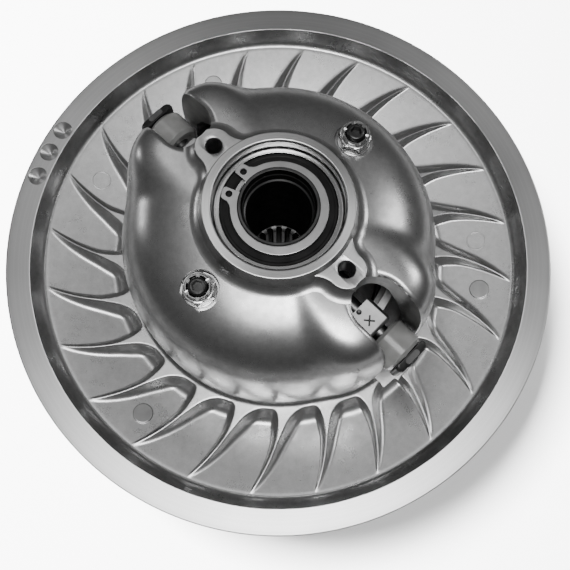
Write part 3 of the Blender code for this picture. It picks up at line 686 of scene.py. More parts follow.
def front_sheave_rings():
    """The casting's skin, from the hub over the dome, fins and rim, and back through its inside."""
    base, offsets = fin_columns()
    inner = base + FIN_SWEEP
    hub = ((28.5, HUB_Z), (28.9, HUB_Z), (HUB_R - 0.7, HUB_Z), (HUB_R - 0.4, HUB_Z),
           (HUB_R - 0.1, HUB_Z - 0.1), (HUB_R, HUB_Z - 0.4), (HUB_R, HUB_Z - 0.7))
    rings = [polar_ring(r, z, inner) for r, z in hub]
    dome_steps = np.concatenate([np.linspace(27.0, 50.0, 24), np.linspace(51.5, 90.0, 26)])
    rings += [dome_skin(psi, inner) for psi in dome_steps]
    pocket_steps = np.concatenate([np.linspace(1.0, 0.72, 18), np.linspace(0.70, 0.0, 30)])
    rings += [pocket_ring(f, base, offsets) for f in pocket_steps]
    for u in (0.08, 0.18, 0.3, 0.42, 0.55, 0.68, 0.8, 0.9, 0.96):
        r = FIN_TIP_R + (RIM_IN_R - FIN_TIP_R) * u
        rings.append(polar_ring(r, WALL_FOOT_Z + 9.4 * u ** 2.3, base))
    edge_z = belt_front_z(RIM_R)
    rim = [(RIM_IN_R, RIM_Z - 0.12), (RIM_IN_R + 0.12, RIM_Z), (RIM_IN_R + 0.5, RIM_Z), (RIM_R - 0.7, RIM_Z),
           (RIM_R - 0.4, RIM_Z), (RIM_R - 0.1, RIM_Z - 0.1), (RIM_R, RIM_Z - 0.4), (RIM_R, RIM_Z - 0.8),
           (RIM_R, edge_z + 0.9), (RIM_R, edge_z + 0.6), (RIM_R - 0.3, edge_z + 0.1)]
    rim += [(r, belt_front_z(r)) for r in (RIM_R - 0.8, RIM_R - 1.2, 100.0, FACE_IN_R)]
    rings += [polar_ring(r, z, base) for r, z in rim]
    seat_z = CUP_TOP_Z + GAP
    hollow = [(64.7, belt_front_z(FACE_IN_R)), (64.7, seat_z), (61.6, seat_z), (61.6, RIM_Z - 19.5),
              (70.5, RIM_Z - 19.5), (70.2, RIM_Z + 14.0), (68.6, RIM_Z + 26.0), (64.0, RIM_Z + 36.0),
              (57.0, RIM_Z + 43.0), (48.0, RIM_Z + 47.5), (40.0, RIM_Z + 49.3), (31.0, RIM_Z + 50.0),
              (31.0, RIM_Z + 48.0), (24.5, RIM_Z + 48.0), (24.5, BEARING_Z0 - GAP),
              (BEARING_OUT_R + GAP, BEARING_Z0 - GAP), (BEARING_OUT_R + GAP, HUB_Z - 0.9)]
    rings += [polar_ring(r, z, inner) for r, z in hollow]
    return rings


def boss_outline(out):
    """The boss round the hub with its two ears, grown outwards by out, as points in plan."""
    corner_r = 10.0
    far = BOSS_R + corner_r
    near = EAR_R + corner_r
    at_axis = math.acos((far ** 2 + EAR_S ** 2 - near ** 2) / (2 * far * EAR_S))
    corner = np.array([far * math.cos(at_axis), far * math.sin(at_axis)])
    to_ear = math.atan2(-corner[1], EAR_S - corner[0])
    half = []
    for share in np.linspace(0.0, 1.0, 30, endpoint=False):
        turn = (math.pi + to_ear) * share
        half.append((EAR_S + (EAR_R + out) * math.cos(turn), (EAR_R + out) * math.sin(turn)))
    for share in np.linspace(0.0, 1.0, 16, endpoint=False):
        turn = to_ear + (at_axis - math.pi - to_ear) * share
        half.append((corner[0] + (corner_r - out) * math.cos(turn),
                     corner[1] + (corner_r - out) * math.sin(turn)))
    for share in np.linspace(0.0, 1.0, 50, endpoint=False):
        turn = at_axis + (math.pi / 2 - at_axis) * share
        half.append(((BOSS_R + out) * math.cos(turn), (BOSS_R + out) * math.sin(turn)))
    quarter = np.array(half)
    mirrored = np.column_stack([-quarter[::-1, 0], quarter[::-1, 1]])
    upper = np.vstack([quarter, [[0.0, BOSS_R + out]], mirrored])
    turn = math.radians(WINDOW_ANGLES[0])
    spin = np.array([[math.cos(turn), math.sin(turn)], [-math.sin(turn), math.cos(turn)]])
    return np.vstack([upper, -upper[1:-1]]) @ spin


def boss():
    """The boss and ears as a closed body whose foot runs out on the dome in a hollow fillet."""
    fillet = 5.0
    edge = boss_outline(0.0)
    inner = edge / np.linalg.norm(edge, axis=1)[:, None] * 30.0

    def at(plan, z):
        return np.column_stack([plan, np.broadcast_to(z, len(plan))])

    rings = [at(inner, RIM_Z + 55.0), at(inner, EAR_Z), at(boss_outline(-0.6), EAR_Z),
             at(boss_outline(-0.15), EAR_Z - 0.12), at(edge, EAR_Z - 0.5)]
    for out in (0.15, 0.4, 0.8, 1.3, 1.9, 2.6, 3.4, 4.2, fillet):
        plan = boss_outline(out)
        under = dome_height(plan[:, 0], plan[:, 1])
        rise = 0.62 * (1.0 - out / fillet) ** 2.0
        rings.append(at(plan, under + (EAR_Z - under) * rise + 0.02))
    rings.append(at(plan, under - 1.0))
    return lathe("boss", rings, 50)


def window_tool(number, angle):
    arc = [(WINDOW_IN_S - WINDOW_HALF_W * math.sin(math.radians(a)),
            WINDOW_HALF_W * math.cos(math.radians(a))) for a in range(0, 181, 5)]
    outline = arc + [(88.0, -WINDOW_HALF_W), (88.0, WINDOW_HALF_W)]
    tool = prism(f"window_cut_{number}", outline, RIM_Z - 15.0, RIM_Z + 80.0)
    return move(tool, place(angle))


def pocket_floor_z(r):
    return WALL_FOOT_Z - FLOOR_FALL * (FIN_TIP_R - r) / (FIN_TIP_R - FIN_FOOT_R)


def on_pocket_floor(angle, r):
    """A place on the finned face's floor, with Z square to it."""
    slope = math.atan(FLOOR_FALL / (FIN_TIP_R - FIN_FOOT_R))
    return place(angle, r, pocket_floor_z(r)) @ Matrix.Rotation(-slope, 4, "Y")


def front_sheave(finishes):
    """The outer sheave: hub ring, boss, dome, finned face, flat rim and belt face in one casting."""
    sheave = lathe("front_sheave_casting", front_sheave_rings(), 60)
    added = [boss()]
    pad = [(PAD_R, -3.0), (PAD_R - 0.1, 1.25), (PAD_R - 0.25, 1.4), (PAD_R - 0.6, 1.4), (0.4, 1.4)]
    for number, angle in enumerate(PAD_ANGLES):
        made = spindle(f"pad_{number}", pad, 48, 0.0)
        added.append(move(made, on_pocket_floor(angle, PAD_S)))
    for number, angle in enumerate(CAST_RING_ANGLES):
        made = turned(f"cast_ring_{number}", [(4.4, -0.8), (5.0, -0.8), (5.0, 0.3), (4.4, 0.3)], 48, 0.15)
        added.append(move(made, on_pocket_floor(angle, CAST_RING_S)))
    combine(sheave, added, "UNION", sharp=60)
    tools = [window_tool(number, angle) for number, angle in enumerate(WINDOW_ANGLES)]
    ear_hole = [(EAR_HOLE_R, RIM_Z + 40), (EAR_HOLE_R, EAR_Z - 0.7), (EAR_HOLE_R + 0.9, EAR_Z + 0.2),
                (EAR_HOLE_R + 0.9, EAR_Z + 9)]
    for number, angle in enumerate(WINDOW_ANGLES):
        tools.append(move(spindle(f"ear_hole_{number}", ear_hole, 48, 0.0), place(angle, EAR_S)))
    spot_face = [(8.3, NUT_SEAT_Z), (8.7, NUT_SEAT_Z + 0.5), (9.0, NUT_SEAT_Z + 20)]
    for number, angle in enumerate(STUD_ANGLES):
        face = spindle(f"spot_face_{number}", spot_face, 72, 0.0)
        hole = rod(f"stud_hole_{number}", STUD_R + 0.4, RIM_Z + 30, HUB_Z)
        tools += [move(face, place(angle, STUD_S)), move(hole, place(angle, STUD_S))]
    drill = [(0.2, RIM_Z - 3.4), (4.7, RIM_Z - 0.6), (5.0, RIM_Z + 0.1), (5.0, RIM_Z + 3)]
    for number, angle in enumerate(DRILL_ANGLES):
        tools.append(move(spindle(f"balance_drill_{number}", drill, 48, 0.0), place(angle, DRILL_S)))
    combine(sheave, tools, sharp=60)
    x, y, z, r, normal = face_facts(sheave)
    off_window = window_distance(x, y)
    level = normal[:, 2] > 0.97
    number = np.zeros(len(r), int)
    number[level & (r > RIM_IN_R) & (z > RIM_Z - 0.3)] = 1
    number[(r > RIM_R - 1.2) & (z < RIM_Z + 0.1)] = 1
    number[(normal[:, 2] < -0.5) & (r > FACE_IN_R - 0.5) & (z < RIM_Z - RIM_THICK + 1)] = 1
    number[(r < HUB_R + 0.1) & (z > RIM_Z + 58.0)] = 2
    number[level & (z > EAR_Z - 0.3)] = 2
    number[level & (np.abs(z - NUT_SEAT_Z) < 0.3) & (off_window > 9)] = 2
    for angle in PAD_ANGLES:
        turn = math.radians(angle)
        near = np.hypot(x - PAD_S * math.cos(turn), y - PAD_S * math.sin(turn)) < PAD_R + 0.1
        number[near & (z > pocket_floor_z(r) + 0.5)] = 4
    # Painted shade: the window walls and the dome's inside faces get the dark metal colour that stands for
    # the shade inside the windows.
    sideways = (np.abs(normal[:, 2]) < 0.05) & (np.abs(off_window) < 0.15)
    number[sideways & (z > RIM_Z - 16)] = 3
    outwards = (normal[:, 0] * x + normal[:, 1] * y) / r
    hollow = (r < 70.8) & (z < RIM_Z + 50.5) & ((outwards < -0.3) | (normal[:, 2] < -0.3))
    number[hollow & (z > RIM_Z - 20) & (off_window > 0.3)] = 3
    # finish 3 is the dark painted-shade metal
    kinds = ("cast", "turned", "hub", "slot", "pad")
    paint(sheave, [finishes[kind] for kind in kinds], number)
    show(sheave, "front_sheave", None, "cast_aluminium", "front_sheave")


def rear_face_ring(r, base, offsets):
    """One ring of the ribbed back; ribs and ledge stand down from the floor."""
    share = np.clip((FIN_TIP_R - r) / (FIN_TIP_R - 82.0), 0.0, 1.0)
    floor = belt_rear_z(r) - 6.5
    crest = belt_rear_z(FIN_TIP_R) - 6.5
    across = np.abs(r * np.radians(offsets))
    rib = 1.0 - np.clip((across - 0.9) / (1.0 + 4.0 * share), 0.0, 1.0)
    ledge = 1.0 - np.clip((r - 82.0) / 8.0, 0.0, 1.0)
    return polar_ring(r, floor + (crest - floor) * hollow_rise(rib, ledge), base + sweep(r))


def rear_sheave(finishes):
    """The sliding sheave: hub tube, flat middle, belt face and a ribbed back."""
    base, offsets = fin_columns()
    inner = base + FIN_SWEEP
    bore = POST_R + 2.8
    front = [(bore, REAR_HUB_Z[1]), (26.0, REAR_HUB_Z[1]), (26.0, REAR_FLOOR_Z + 3.0), (29.0, REAR_FLOOR_Z),
             (62.0, REAR_FLOOR_Z), (FACE_IN_R, belt_rear_z(FACE_IN_R))]
    rings = [polar_ring(r, z, inner) for r, z in rounded(front, 0.5, False)]
    rim = [(RIM_R - 0.8, belt_rear_z(RIM_R - 0.8)), (RIM_R - 0.2, belt_rear_z(RIM_R) - 0.2),
           (RIM_R, belt_rear_z(RIM_R) - 0.8), (RIM_R, REAR_RIM_Z + 0.5), (RIM_R - 0.15, REAR_RIM_Z + 0.12),
           (RIM_R - 0.5, REAR_RIM_Z), (RIM_IN_R + 0.2, REAR_RIM_Z), (RIM_IN_R, REAR_RIM_Z + 0.2)]
    rings += [polar_ring(r, z, base) for r, z in rim]
    wall_foot = belt_rear_z(FIN_TIP_R) - 6.5
    for u in (0.85, 0.65, 0.45, 0.25, 0.1):
        r = FIN_TIP_R + (RIM_IN_R - FIN_TIP_R) * u
        rings.append(polar_ring(r, wall_foot + (REAR_RIM_Z + 0.3 - wall_foot) * u ** 2.0, base))
    rings += [rear_face_ring(r, base, offsets) for r in np.linspace(FIN_TIP_R, 81.0, 34)]
    back = [(79.0, REAR_BACK_Z), (31.0, REAR_BACK_Z), (31.0, REAR_HUB_Z[0], 0.6), (bore, REAR_HUB_Z[0], 0.4)]
    rings += [polar_ring(r, z, inner) for r, z in rounded(back, 0.8, False)]
    sheave = lathe("rear_sheave_casting", rings, 60)
    tools = []
    for number, (x, y) in enumerate(screw_places()):
        tools.append(move(rod(f"screw_hole_{number}", 2.9, RIM_Z - 60, RIM_Z - 30), plan_shift(x, y)))
    combine(sheave, tools, sharp=60)
    x, y, z, r, normal = face_facts(sheave)
    number = np.zeros(len(r), int)
    number[(normal[:, 2] > 0.5) & (r > FACE_IN_R - 0.5)] = 1
    number[(r > RIM_IN_R + 0.1) & (z < REAR_RIM_Z + 0.3)] = 1
    number[r > RIM_R - 0.9] = 1
    number[(r < 31.2) & (np.abs(normal[:, 2]) > 0.9)] = 1
    paint(sheave, [finishes["cast"], finishes["turned"]], number)
    show(sheave, "rear_sheave", None, "cast_aluminium", "rear_sheave")


# ---- post, cam and bearing ----------------------------------------------------------------------
def post(finishes):
    """The steel post: bearing seat and ring grooves outside, internal spline inside."""
    columns = SPLINE_TEETH * 24
    angles = full_turn(columns)
    phase = np.abs((angles * SPLINE_TEETH / 360.0) % 1.0 - 0.5) * 2
    tooth = SPLINE_MINOR_R + (SPLINE_MAJOR_R - SPLINE_MINOR_R) * smooth_step(0.35, 0.62, phase)
    outside = [(15.4, POST_END_Z - 3.0, 0), (16.0, POST_END_Z, 0.2), (17.0, POST_END_Z, 0),
               (POST_SEAT_R, POST_END_Z - 0.5, 0),
               (POST_SEAT_R, RIM_Z + 63.4, 0.1), (16.5, RIM_Z + 63.4, 0.1), (16.5, RIM_Z + 61.6, 0.1),
               (POST_SEAT_R, RIM_Z + 61.6, 0.1), (POST_SEAT_R, RIM_Z + 51.2), (POST_R, RIM_Z + 50.2),
               (POST_R, 3.8, 0.1), (17.8, 3.8, 0.1), (17.8, 2.0, 0.1), (POST_R, 2.0, 0.1), (POST_R, 0.8),
               (POST_R - 0.8, 0.0)]
    rings = [polar_ring(r, z, angles) for r, z in rounded(outside, 0.3, False)]
    rings.append(polar_ring(SPLINE_MAJOR_R + 0.5, 0.0, angles))
    rings.append(polar_ring(tooth, 0.8, angles))
    rings.append(polar_ring(tooth, SPLINE_TOP_Z - 1.2, angles))
    rings.append(polar_ring((tooth + POST_BORE_R) / 2, SPLINE_TOP_Z - 0.2, angles))
    for r, z in ((POST_BORE_R - 0.1, SPLINE_TOP_Z), (POST_BORE_R, SPLINE_TOP_Z + 0.2),
                 (POST_BORE_R, POST_END_Z - 9.0), (14.3, POST_END_Z - 8.4), (15.0, POST_END_Z - 8.0),
                 (15.0, POST_END_Z - 3.4)):
        rings.append(polar_ring(r, z, angles))
    made = lathe("post_turned", rings, 30)
    show(made, "post", finishes["post"], "blackened_steel", "post")


def helix_cam(finishes):
    """A keyed hub with two ramps: each falls as far as the rear sheave shifts over the twist."""
    angles = WINDOW_ANGLES[1] + full_turn(360)
    from_roller = nearest_offset(angles, WINDOW_ANGLES)
    reach = CAM_ROLLER_R + GAP

    def ramp(r, drop=0.0):
        slope = math.atan(SHIFT / (r * math.radians(TWIST)))
        height = PIN_Z - reach / math.cos(slope) - SHIFT / TWIST * from_roller
        height = np.clip(height, CAM_VALLEY_Z, CAM_PLATEAU_Z)
        return np.where(from_roller > 70.0, CAM_PLATEAU_Z, height) - drop

    key_z = RIM_Z - 8.0
    bore = POST_R + GAP
    outline = [(bore, RIM_Z + 47.6), (bore + 0.4, RIM_Z + 48.0), (CAM_HUB_R - 4.4, RIM_Z + 48.0),
               (CAM_HUB_R - 4.0, RIM_Z + 47.6), (CAM_HUB_R, CAM_PLATEAU_Z + 6.0),
               (CAM_HUB_R, ramp(CAM_HUB_R, -1.0)), (CAM_HUB_R + 0.4, ramp(CAM_HUB_R, -0.3)),
               (CAM_HUB_R + 1.2, ramp(CAM_HUB_R + 1.2)), (CAM_R - 0.6, ramp(CAM_R - 0.6)),
               (CAM_R - 0.15, ramp(CAM_R, 0.15)), (CAM_R, ramp(CAM_R, 0.6)), (CAM_R, RIM_Z - 18.5),
               (CAM_R - 0.5, RIM_Z - 19.0), (30.0, RIM_Z - 19.0), (CAM_HUB_R, key_z), (bore, key_z)]
    made = lathe("helix_cam_turned", [polar_ring(r, z, angles) for r, z in outline], 45)
    show(made, "post", finishes["steel"], "ground_steel", "helix_cam")


def bearing(finishes):
    """The sealed ball bearing in the hub, and the spacer under its inner ring."""
    middle = (BEARING_Z0 + BEARING_Z1) / 2
    outline = [(BEARING_IN_R, BEARING_Z1, 0.6), (20.1, BEARING_Z1, 0.15), (20.1, middle + 2.0, 0),
               (19.5, middle, 0.8), (20.1, middle - 2.0, 0), (20.1, BEARING_Z0, 0.15),
               (BEARING_IN_R, BEARING_Z0, 0.6)]
    inner = turned("inner_race", outline, 128)
    show(inner, "post", finishes["bearing"], "bearing_steel", "bearing_inner_ring")
    outline = [(25.2, BEARING_Z1, 0.15), (BEARING_OUT_R, BEARING_Z1, 0.7), (BEARING_OUT_R, BEARING_Z0, 0.7),
               (25.2, BEARING_Z0, 0.15), (25.2, middle - 2.0, 0), (25.5, middle, 0.8),
               (25.2, middle + 2.0, 0)]
    outer = turned("outer_race", outline, 128)
    show(outer, "front_sheave", finishes["bearing"], "bearing_steel", "bearing_outer_ring")
    for node, z, side in (("bearing_seal_front", BEARING_Z1 - 0.9, 1),
                          ("bearing_seal_rear", BEARING_Z0 + 0.9, -1)):
        face = [(20.3, 0.1), (20.5, 0.55), (21.0, 0.55), (21.3, 0.25), (23.4, 0.25), (23.9, 0.5), (24.7, 0.5),
                (25.0, 0.2), (25.0, -0.5), (20.3, -0.5)]
        seal = turned(f"{node}_moulded", [(r, z + side * up) for r, up in face], 128, 0.12)
        show(seal, "front_sheave", finishes["rubber"], "seal_rubber", node)
    outline = [(21.7, middle + 1.6), (23.3, middle + 1.6), (23.3, middle - 1.6), (21.7, middle - 1.6)]
    cage = turned("ball_cage", outline, 72)
    ball_r = 2.62
    turns = [math.radians(a) for a in range(8, 173, 12)]
    sphere = [(ball_r * math.sin(turn), ball_r * math.cos(turn)) for turn in turns]
    balls = [move(spindle(f"ball_{i}", sphere, 24, 0.0), place(i * 30.0, 22.5, middle)) for i in range(12)]
    combine(cage, balls, "UNION")
    show(cage, "bearing_balls", finishes["bearing"], "bearing_steel", "bearing_balls")
    outline = [(POST_SEAT_R + GAP, RIM_Z + 51.3), (22.5, RIM_Z + 51.3), (22.5, RIM_Z + 48.3),
               (POST_R + GAP, RIM_Z + 48.3), (POST_R + GAP, RIM_Z + 50.6)]
    spacer = turned("spacer_turned", outline, 96, 0.2)
    show(spacer, "post", finishes["steel"], "ground_steel", "cam_spacer")


def polar_outline(points):
    return [(r * math.cos(math.radians(a)), r * math.sin(math.radians(a))) for r, a in points]


def circlips(finishes):
    """The tapered ring with two lugs in front, and the plain ring and washer at the rear."""
    gap_angle = 149.0
    lug = [(8.6, 17.3), (8.8, 23.9), (10.0, 24.6), (15.0, 24.9), (20.5, 24.6), (22.2, 23.8), (24.0, 22.0),
           (28.5, 20.8)]
    outer = [(20.4 + 0.6 * math.sin(math.radians(a / 2)) ** 2, a) for a in range(32, 329, 4)]
    points = [(r, gap_angle + a) for a, r in lug]
    points += [(r, gap_angle + a) for r, a in outer]
    points += [(r, gap_angle - a) for a, r in reversed(lug)]
    points += [(16.9, gap_angle - a) for a in range(9, 352, 4)]
    ring = prism("front_clip", polar_outline(points), RIM_Z + 61.8, RIM_Z + 63.2)
    soften(ring, 0.18)
    holes = []
    for number, side in enumerate((-15.5, 15.5)):
        hole = rod(f"lug_hole_{number}", 1.5, RIM_Z + 60, RIM_Z + 65)
        holes.append(move(hole, place(gap_angle + side, 21.7)))
    combine(ring, holes)
    show(ring, "post", finishes["clip"], "spring_steel", "post_circlip")
    points = [(r, a) for r, span in ((22.0, range(20, 341, 4)), (18.1, range(340, 19, -4))) for a in span]
    rear = prism("rear_clip", polar_outline(points), 2.2, 3.6)
    soften(rear, 0.2)
    show(rear, "post", finishes["spring"], "spring_steel", "rear_circlip")
    outline = [(POST_R + GAP, 5.8), (27.0, 5.8), (27.0, 4.0), (POST_R + GAP, 4.0)]
    washer = turned("stop_washer_turned", outline)
    show(washer, "post", finishes["steel"], "ground_steel", "stop_washer")


# ---- carrier and rollers ------------------------------------------------------------------------
def screw_places():
    """Where the four carrier screws stand: two below each leg."""
    places = []
    for angle in WINDOW_ANGLES:
        turn = math.radians(angle)
        for across in (-SCREW_ASIDE, SCREW_ASIDE):
            places.append((SCREW_S * math.cos(turn) - across * math.sin(turn),
                           SCREW_S * math.sin(turn) + across * math.cos(turn)))
    return places


def carrier_arm(number, angle):
    """A bevelled arm and the leg under it, to be joined to the carrier's ring."""
    w = ARM_HALF_W
    bevel = 1.5
    top = [(-w, ARM_Z[0] - 0.2), (w, ARM_Z[0] - 0.2), (w, ARM_Z[1] - bevel), (w - bevel, ARM_Z[1]),
           (bevel - w, ARM_Z[1]), (-w, ARM_Z[1] - bevel)]
    rings = [[(s, y * (1 - trim / 8), z - trim * (z > PIN_Z)) for y, z in top]
             for s, trim in ((ARM_S[0], 0.0), (ARM_S[1] - 1.2, 0.0), (ARM_S[1], 1.0))]
    arm = move(capped(f"arm_{number}", rings), place(angle))
    soften(arm, 0.45, 3, 25)
    leg = block(f"leg_{number}", (LEG_S[0], -LEG_HALF_W, REAR_FLOOR_Z + GAP),
                (LEG_S[1], LEG_HALF_W, ARM_Z[0] + 2.0))
    soften(leg, 0.6)
    return [arm, move(leg, place(angle))]


def arm_tools(number, angle):
    """What is cut at one arm: the pin's hole, a dot and a cross on top, and the relief inside it."""
    hole = rod(f"pin_hole_{number}", PIN_R + GAP, -40, 40, 40)
    dot = spindle(f"arm_dot_{number}", [(0.2, ARM_Z[1] - 1.9), (DOT_R, ARM_Z[1] - 1.6),
                                        (DOT_R, ARM_Z[1] + 5)], 32, 0.0)
    tools = [move(hole, on_pin(angle, 52.0)), move(dot, place(angle) @ plan_shift(DOT_S, -1.3))]
    for way in (0.0, 90.0):
        groove = block(f"cross_{number}_{way}", (-CROSS_HALF, -0.42, ARM_Z[1] - 0.8),
                       (CROSS_HALF, 0.42, ARM_Z[1] + 2))
        tools.append(move(groove, place(angle) @ plan_shift(CROSS_S, -0.8) @ place(way + 39.0)))
    span = list(range(9, 25))
    for side in (-1.0, 1.0):
        points = [(56.6, angle + side * a) for a in span] + [(40.0, angle + side * a) for a in span[::-1]]
        points = points if side > 0 else points[::-1]
        tools.append(prism(f"ring_relief_{number}_{side}", polar_outline(points), RIM_Z, RIM_Z + 30))
    relief = block(f"arm_relief_{number}", (38.0, -12.0, RELIEF_Z), (RELIEF_S, 12.0, ARM_Z[1] + 3.0))
    return tools + [move(relief, place(angle))]


def roller_carrier(finishes):
    """A ring with two roller arms, on two legs that stand on the rear sheave."""
    r0, r1 = CARRIER_RING_R
    z0, z1 = CARRIER_RING_Z
    carrier = turned("carrier_machined", [(r0, z1), (r1, z1), (r1, z0), (r0, z0)], 144, 0.6)
    joined = []
    tools = []
    for number, angle in enumerate(WINDOW_ANGLES):
        joined += carrier_arm(number, angle)
        tools += arm_tools(number, angle)
    for number, angle in enumerate(STUD_ANGLES):
        tools.append(move(rod(f"stud_notch_{number}", 5.6, RIM_Z + 5, RIM_Z + 30, 48), place(angle, STUD_S)))
    for number, (x, y) in enumerate(screw_places()):
        tools.append(move(rod(f"tapping_{number}", 2.8, RIM_Z - 50, REAR_FLOOR_Z + 15), plan_shift(x, y)))
    combine(carrier, joined, "UNION")
    combine(carrier, tools)
    x, y, z, r, _ = face_facts(carrier)
    aside = r * np.abs(np.radians(nearest_offset(np.degrees(np.arctan2(y, x)), WINDOW_ANGLES)))
    below = ARM_Z[1] - z
    # Painted shade: the cross grooves, the dot's hole and the cut-down floors inside the arms are painted
    # black for the shade in these recesses.
    cross_groove_shade = (below > 0.05) & (below < 0.9) & (np.abs(r - CROSS_S) < CROSS_HALF + 0.5) & (aside < 3.9)
    dot_hole_shade = (below > 0.1) & (below < 2.0) & (np.abs(r - DOT_S) < DOT_R + 0.3) & (aside < 2.8)
    relief_floor_shade = (z < RELIEF_Z + 0.1) & (r < RELIEF_S - 0.1)
    number = (cross_groove_shade | dot_hole_shade | relief_floor_shade).astype(int)
    paint(carrier, [finishes["carrier"], finishes["black"]], number)
    show(carrier, "rear_sheave", None, "machined_aluminium", "roller_carrier")


def guide_cap(number, angle, finishes):
    """The black slide at a pin's outer end: bevelled, a recess in its face, a grey insert on top."""
    rings = []
    steps = ((CAP_S[0], 0.5, 0.0), (CAP_S[0] + 0.5, 0.0, 0.0), (CAP_S[0] + 2.2, 0.0, 0.4),
             (CAP_S[1] - 0.5, 0.7, 0.9), (CAP_S[1], 1.4, 1.3), (CAP_S[1], 2.3, 2.3),
             (CAP_S[1] - 0.6, 2.7, 2.7))
    for s, narrow, lower in steps:
        w = CAP_HALF_W - narrow
        h = CAP_HALF_H - lower
        outline = rounded([(-w, -h), (w, -h), (w, h), (-w, h)], 2.2, True, 6)
        rings.append([(s, y, PIN_Z + z) for y, z in outline])
    cap = move(capped(f"slide_{number}", rings), place(angle))
    combine(cap, [move(rod(f"cap_hole_{number}", PIN_R + GAP, -10, 10, 40), on_pin(angle, 83.0))])
    end_r = 1.35
    outline = []
    for a in range(6, 366, 12):
        along, across = end_r * math.cos(math.radians(a)), end_r * math.sin(math.radians(a))
        outline.append((83.4 + along, across + math.copysign(4.0 - end_r, across)))
    top = PIN_Z + CAP_HALF_H
    insert = move(prism(f"insert_{number}", outline, top - 1.2, top + 0.12), place(angle))
    combine(cap, [insert], "UNION")
    height = face_facts(cap)[2]
    paint(cap, [finishes["black"], finishes["dark"]], (height > top + 0.01).astype(int))
    show(cap, "rear_sheave", None, "black_nylon", f"guide_cap_{number}")


def roller_set(number, angle, finishes):
    """One arm's pin with its cam roller, outer roller, their bushes and the guide cap."""
    outline = [(0.3, 28.8), (4.6, 28.8), (5.2, 29.3), (5.2, 30.9), (PIN_R, 30.9), (PIN_R, 85.5), (3.3, 86.1),
               (2.2, 86.1), (2.0, 85.6), (0.2, 85.6)]
    pin = move(spindle(f"pin_{number}", outline, 48, 0.15), on_pin(angle, 0.0))
    # The pin gets the dark painted-shade metal, standing for the shade of the gap it shows in.
    show(pin, "rear_sheave", finishes["slot"], "ground_steel", f"roller_pin_{number}")
    guide_cap(number, angle, finishes)
    rollers = (("outer_roller", ROLLER_S, ROLLER_R, "grey", "grey_nylon", 1.6),
               ("cam_roller", CAM_ROLLER_S, CAM_ROLLER_R, "dark", "dark_nylon", 1.0))
    for name, span, radius, finish, slot, chamfer in rollers:
        half = (span[1] - span[0]) / 2
        at = on_pin(angle, (span[0] + span[1]) / 2)
        bore = BUSH_R + GAP
        wall = half - 1.2
        neck = PIN_R + GAP
        outline = [(neck, half - 0.3), (neck + 2.2, half - 0.3, 0.15), (neck + 2.5, half, 0.15),
                   (radius - chamfer, half, 0.5), (radius, half - chamfer, 0.6),
                   (radius, chamfer - half, 0.6), (radius - chamfer, -half, 0.5), (neck + 2.5, -half, 0.15),
                   (neck + 2.2, 0.3 - half, 0.15),
                   (neck, 0.3 - half), (neck, -wall, 0.0), (bore, -wall, 0.0), (bore, wall, 0.0),
                   (neck, wall, 0.0)]
        roller = move(turned(f"{name}_tyre_{number}", outline, 128, 0.15), at)
        show(roller, f"{name}_{number}", finishes[finish], slot, f"{name}_{number}")
        long_half = wall - 0.2
        outline = [(neck, long_half), (BUSH_R, long_half), (BUSH_R, -long_half), (neck, -long_half)]
        bush = move(turned(f"{name}_sleeve_{number}", outline, 64, 0.2), at)
        show(bush, "rear_sheave", finishes["bronze"], "sintered_bronze", f"{name}_bush_{number}")


# ---- spring, studs, screws ----------------------------------------------------------------------
def spring(finishes):
    """A four-turn compression spring of round wire with ground ends."""
    steps = 72
    sides = 16
    count = SPRING_TURNS * steps + 1
    rise = SPRING_Z[1] - SPRING_Z[0] - 2 * SPRING_WIRE_R
    around = np.radians(full_turn(sides))
    rings = []
    for i in range(count):
        share = i / (count - 1)
        r = SPRING_MEAN_R + SPRING_WIRE_R * np.cos(around)
        z = SPRING_Z[0] + SPRING_WIRE_R + rise * share + SPRING_WIRE_R * np.sin(around)
        rings.append(polar_ring(r, z, np.full(sides, 360.0 * SPRING_TURNS * share)))
    made = capped("coil_spring", rings)
    show(made, "front_sheave", finishes["spring"], "spring_steel", "spring")
    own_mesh(made)


def spring_cup(finishes):
    """The pressed plate that closes the dome's underside and seats the spring."""
    top = CUP_TOP_Z
    under = top - CUP_THICK
    outline = [(29.0, top), (53.2, top), (54.0, top - 0.8), (54.0, top - 6.6), (59.2, top - 6.6), (59.2, top),
               (64.4, top), (64.4, under), (61.3, under), (61.3, top - 9.0), (52.6, top - 9.0), (52.6, under),
               (29.0, under)]
    cup = turned("cup_pressed", outline, 192, 0.7)
    tools = []
    for number, angle in enumerate(WINDOW_ANGLES):
        slot = block(f"cup_slot_{number}", (42.8, -LEG_HALF_W - 1.2, top - 5.0),
                     (50.4, LEG_HALF_W + 1.2, top + 5.0))
        soften(slot, 1.2, 4)
        tools.append(move(slot, place(angle)))
    for number, angle in enumerate(STUD_ANGLES):
        hole = rod(f"cup_hole_{number}", STUD_R + GAP, top - 5.0, top + 5.0, 40)
        tools.append(move(hole, place(angle, STUD_S)))
    combine(cup, tools)
    show(cup, "front_sheave", finishes["spring"], "spring_steel", "spring_cup")
    z0 = SPRING_Z[1] + GAP
    z1 = SPRING_Z[1] + 2.0
    washer = turned("spring_seat", [(53.8, z1), (59.2, z1), (59.2, z0), (53.8, z0)], 128)
    show(washer, "rear_sheave", finishes["spring"], "spring_steel", "spring_washer")


def hexagon(angles, across_flats):
    return across_flats / 2 / np.cos(np.radians((angles + 30.0) % 60.0 - 30.0))


def hex_tool(name, across_flats, z0, z1):
    corner_r = across_flats / 2 / math.cos(math.radians(30))
    return prism(name, polar_outline([(corner_r, a) for a in range(0, 360, 60)]), z0, z1)


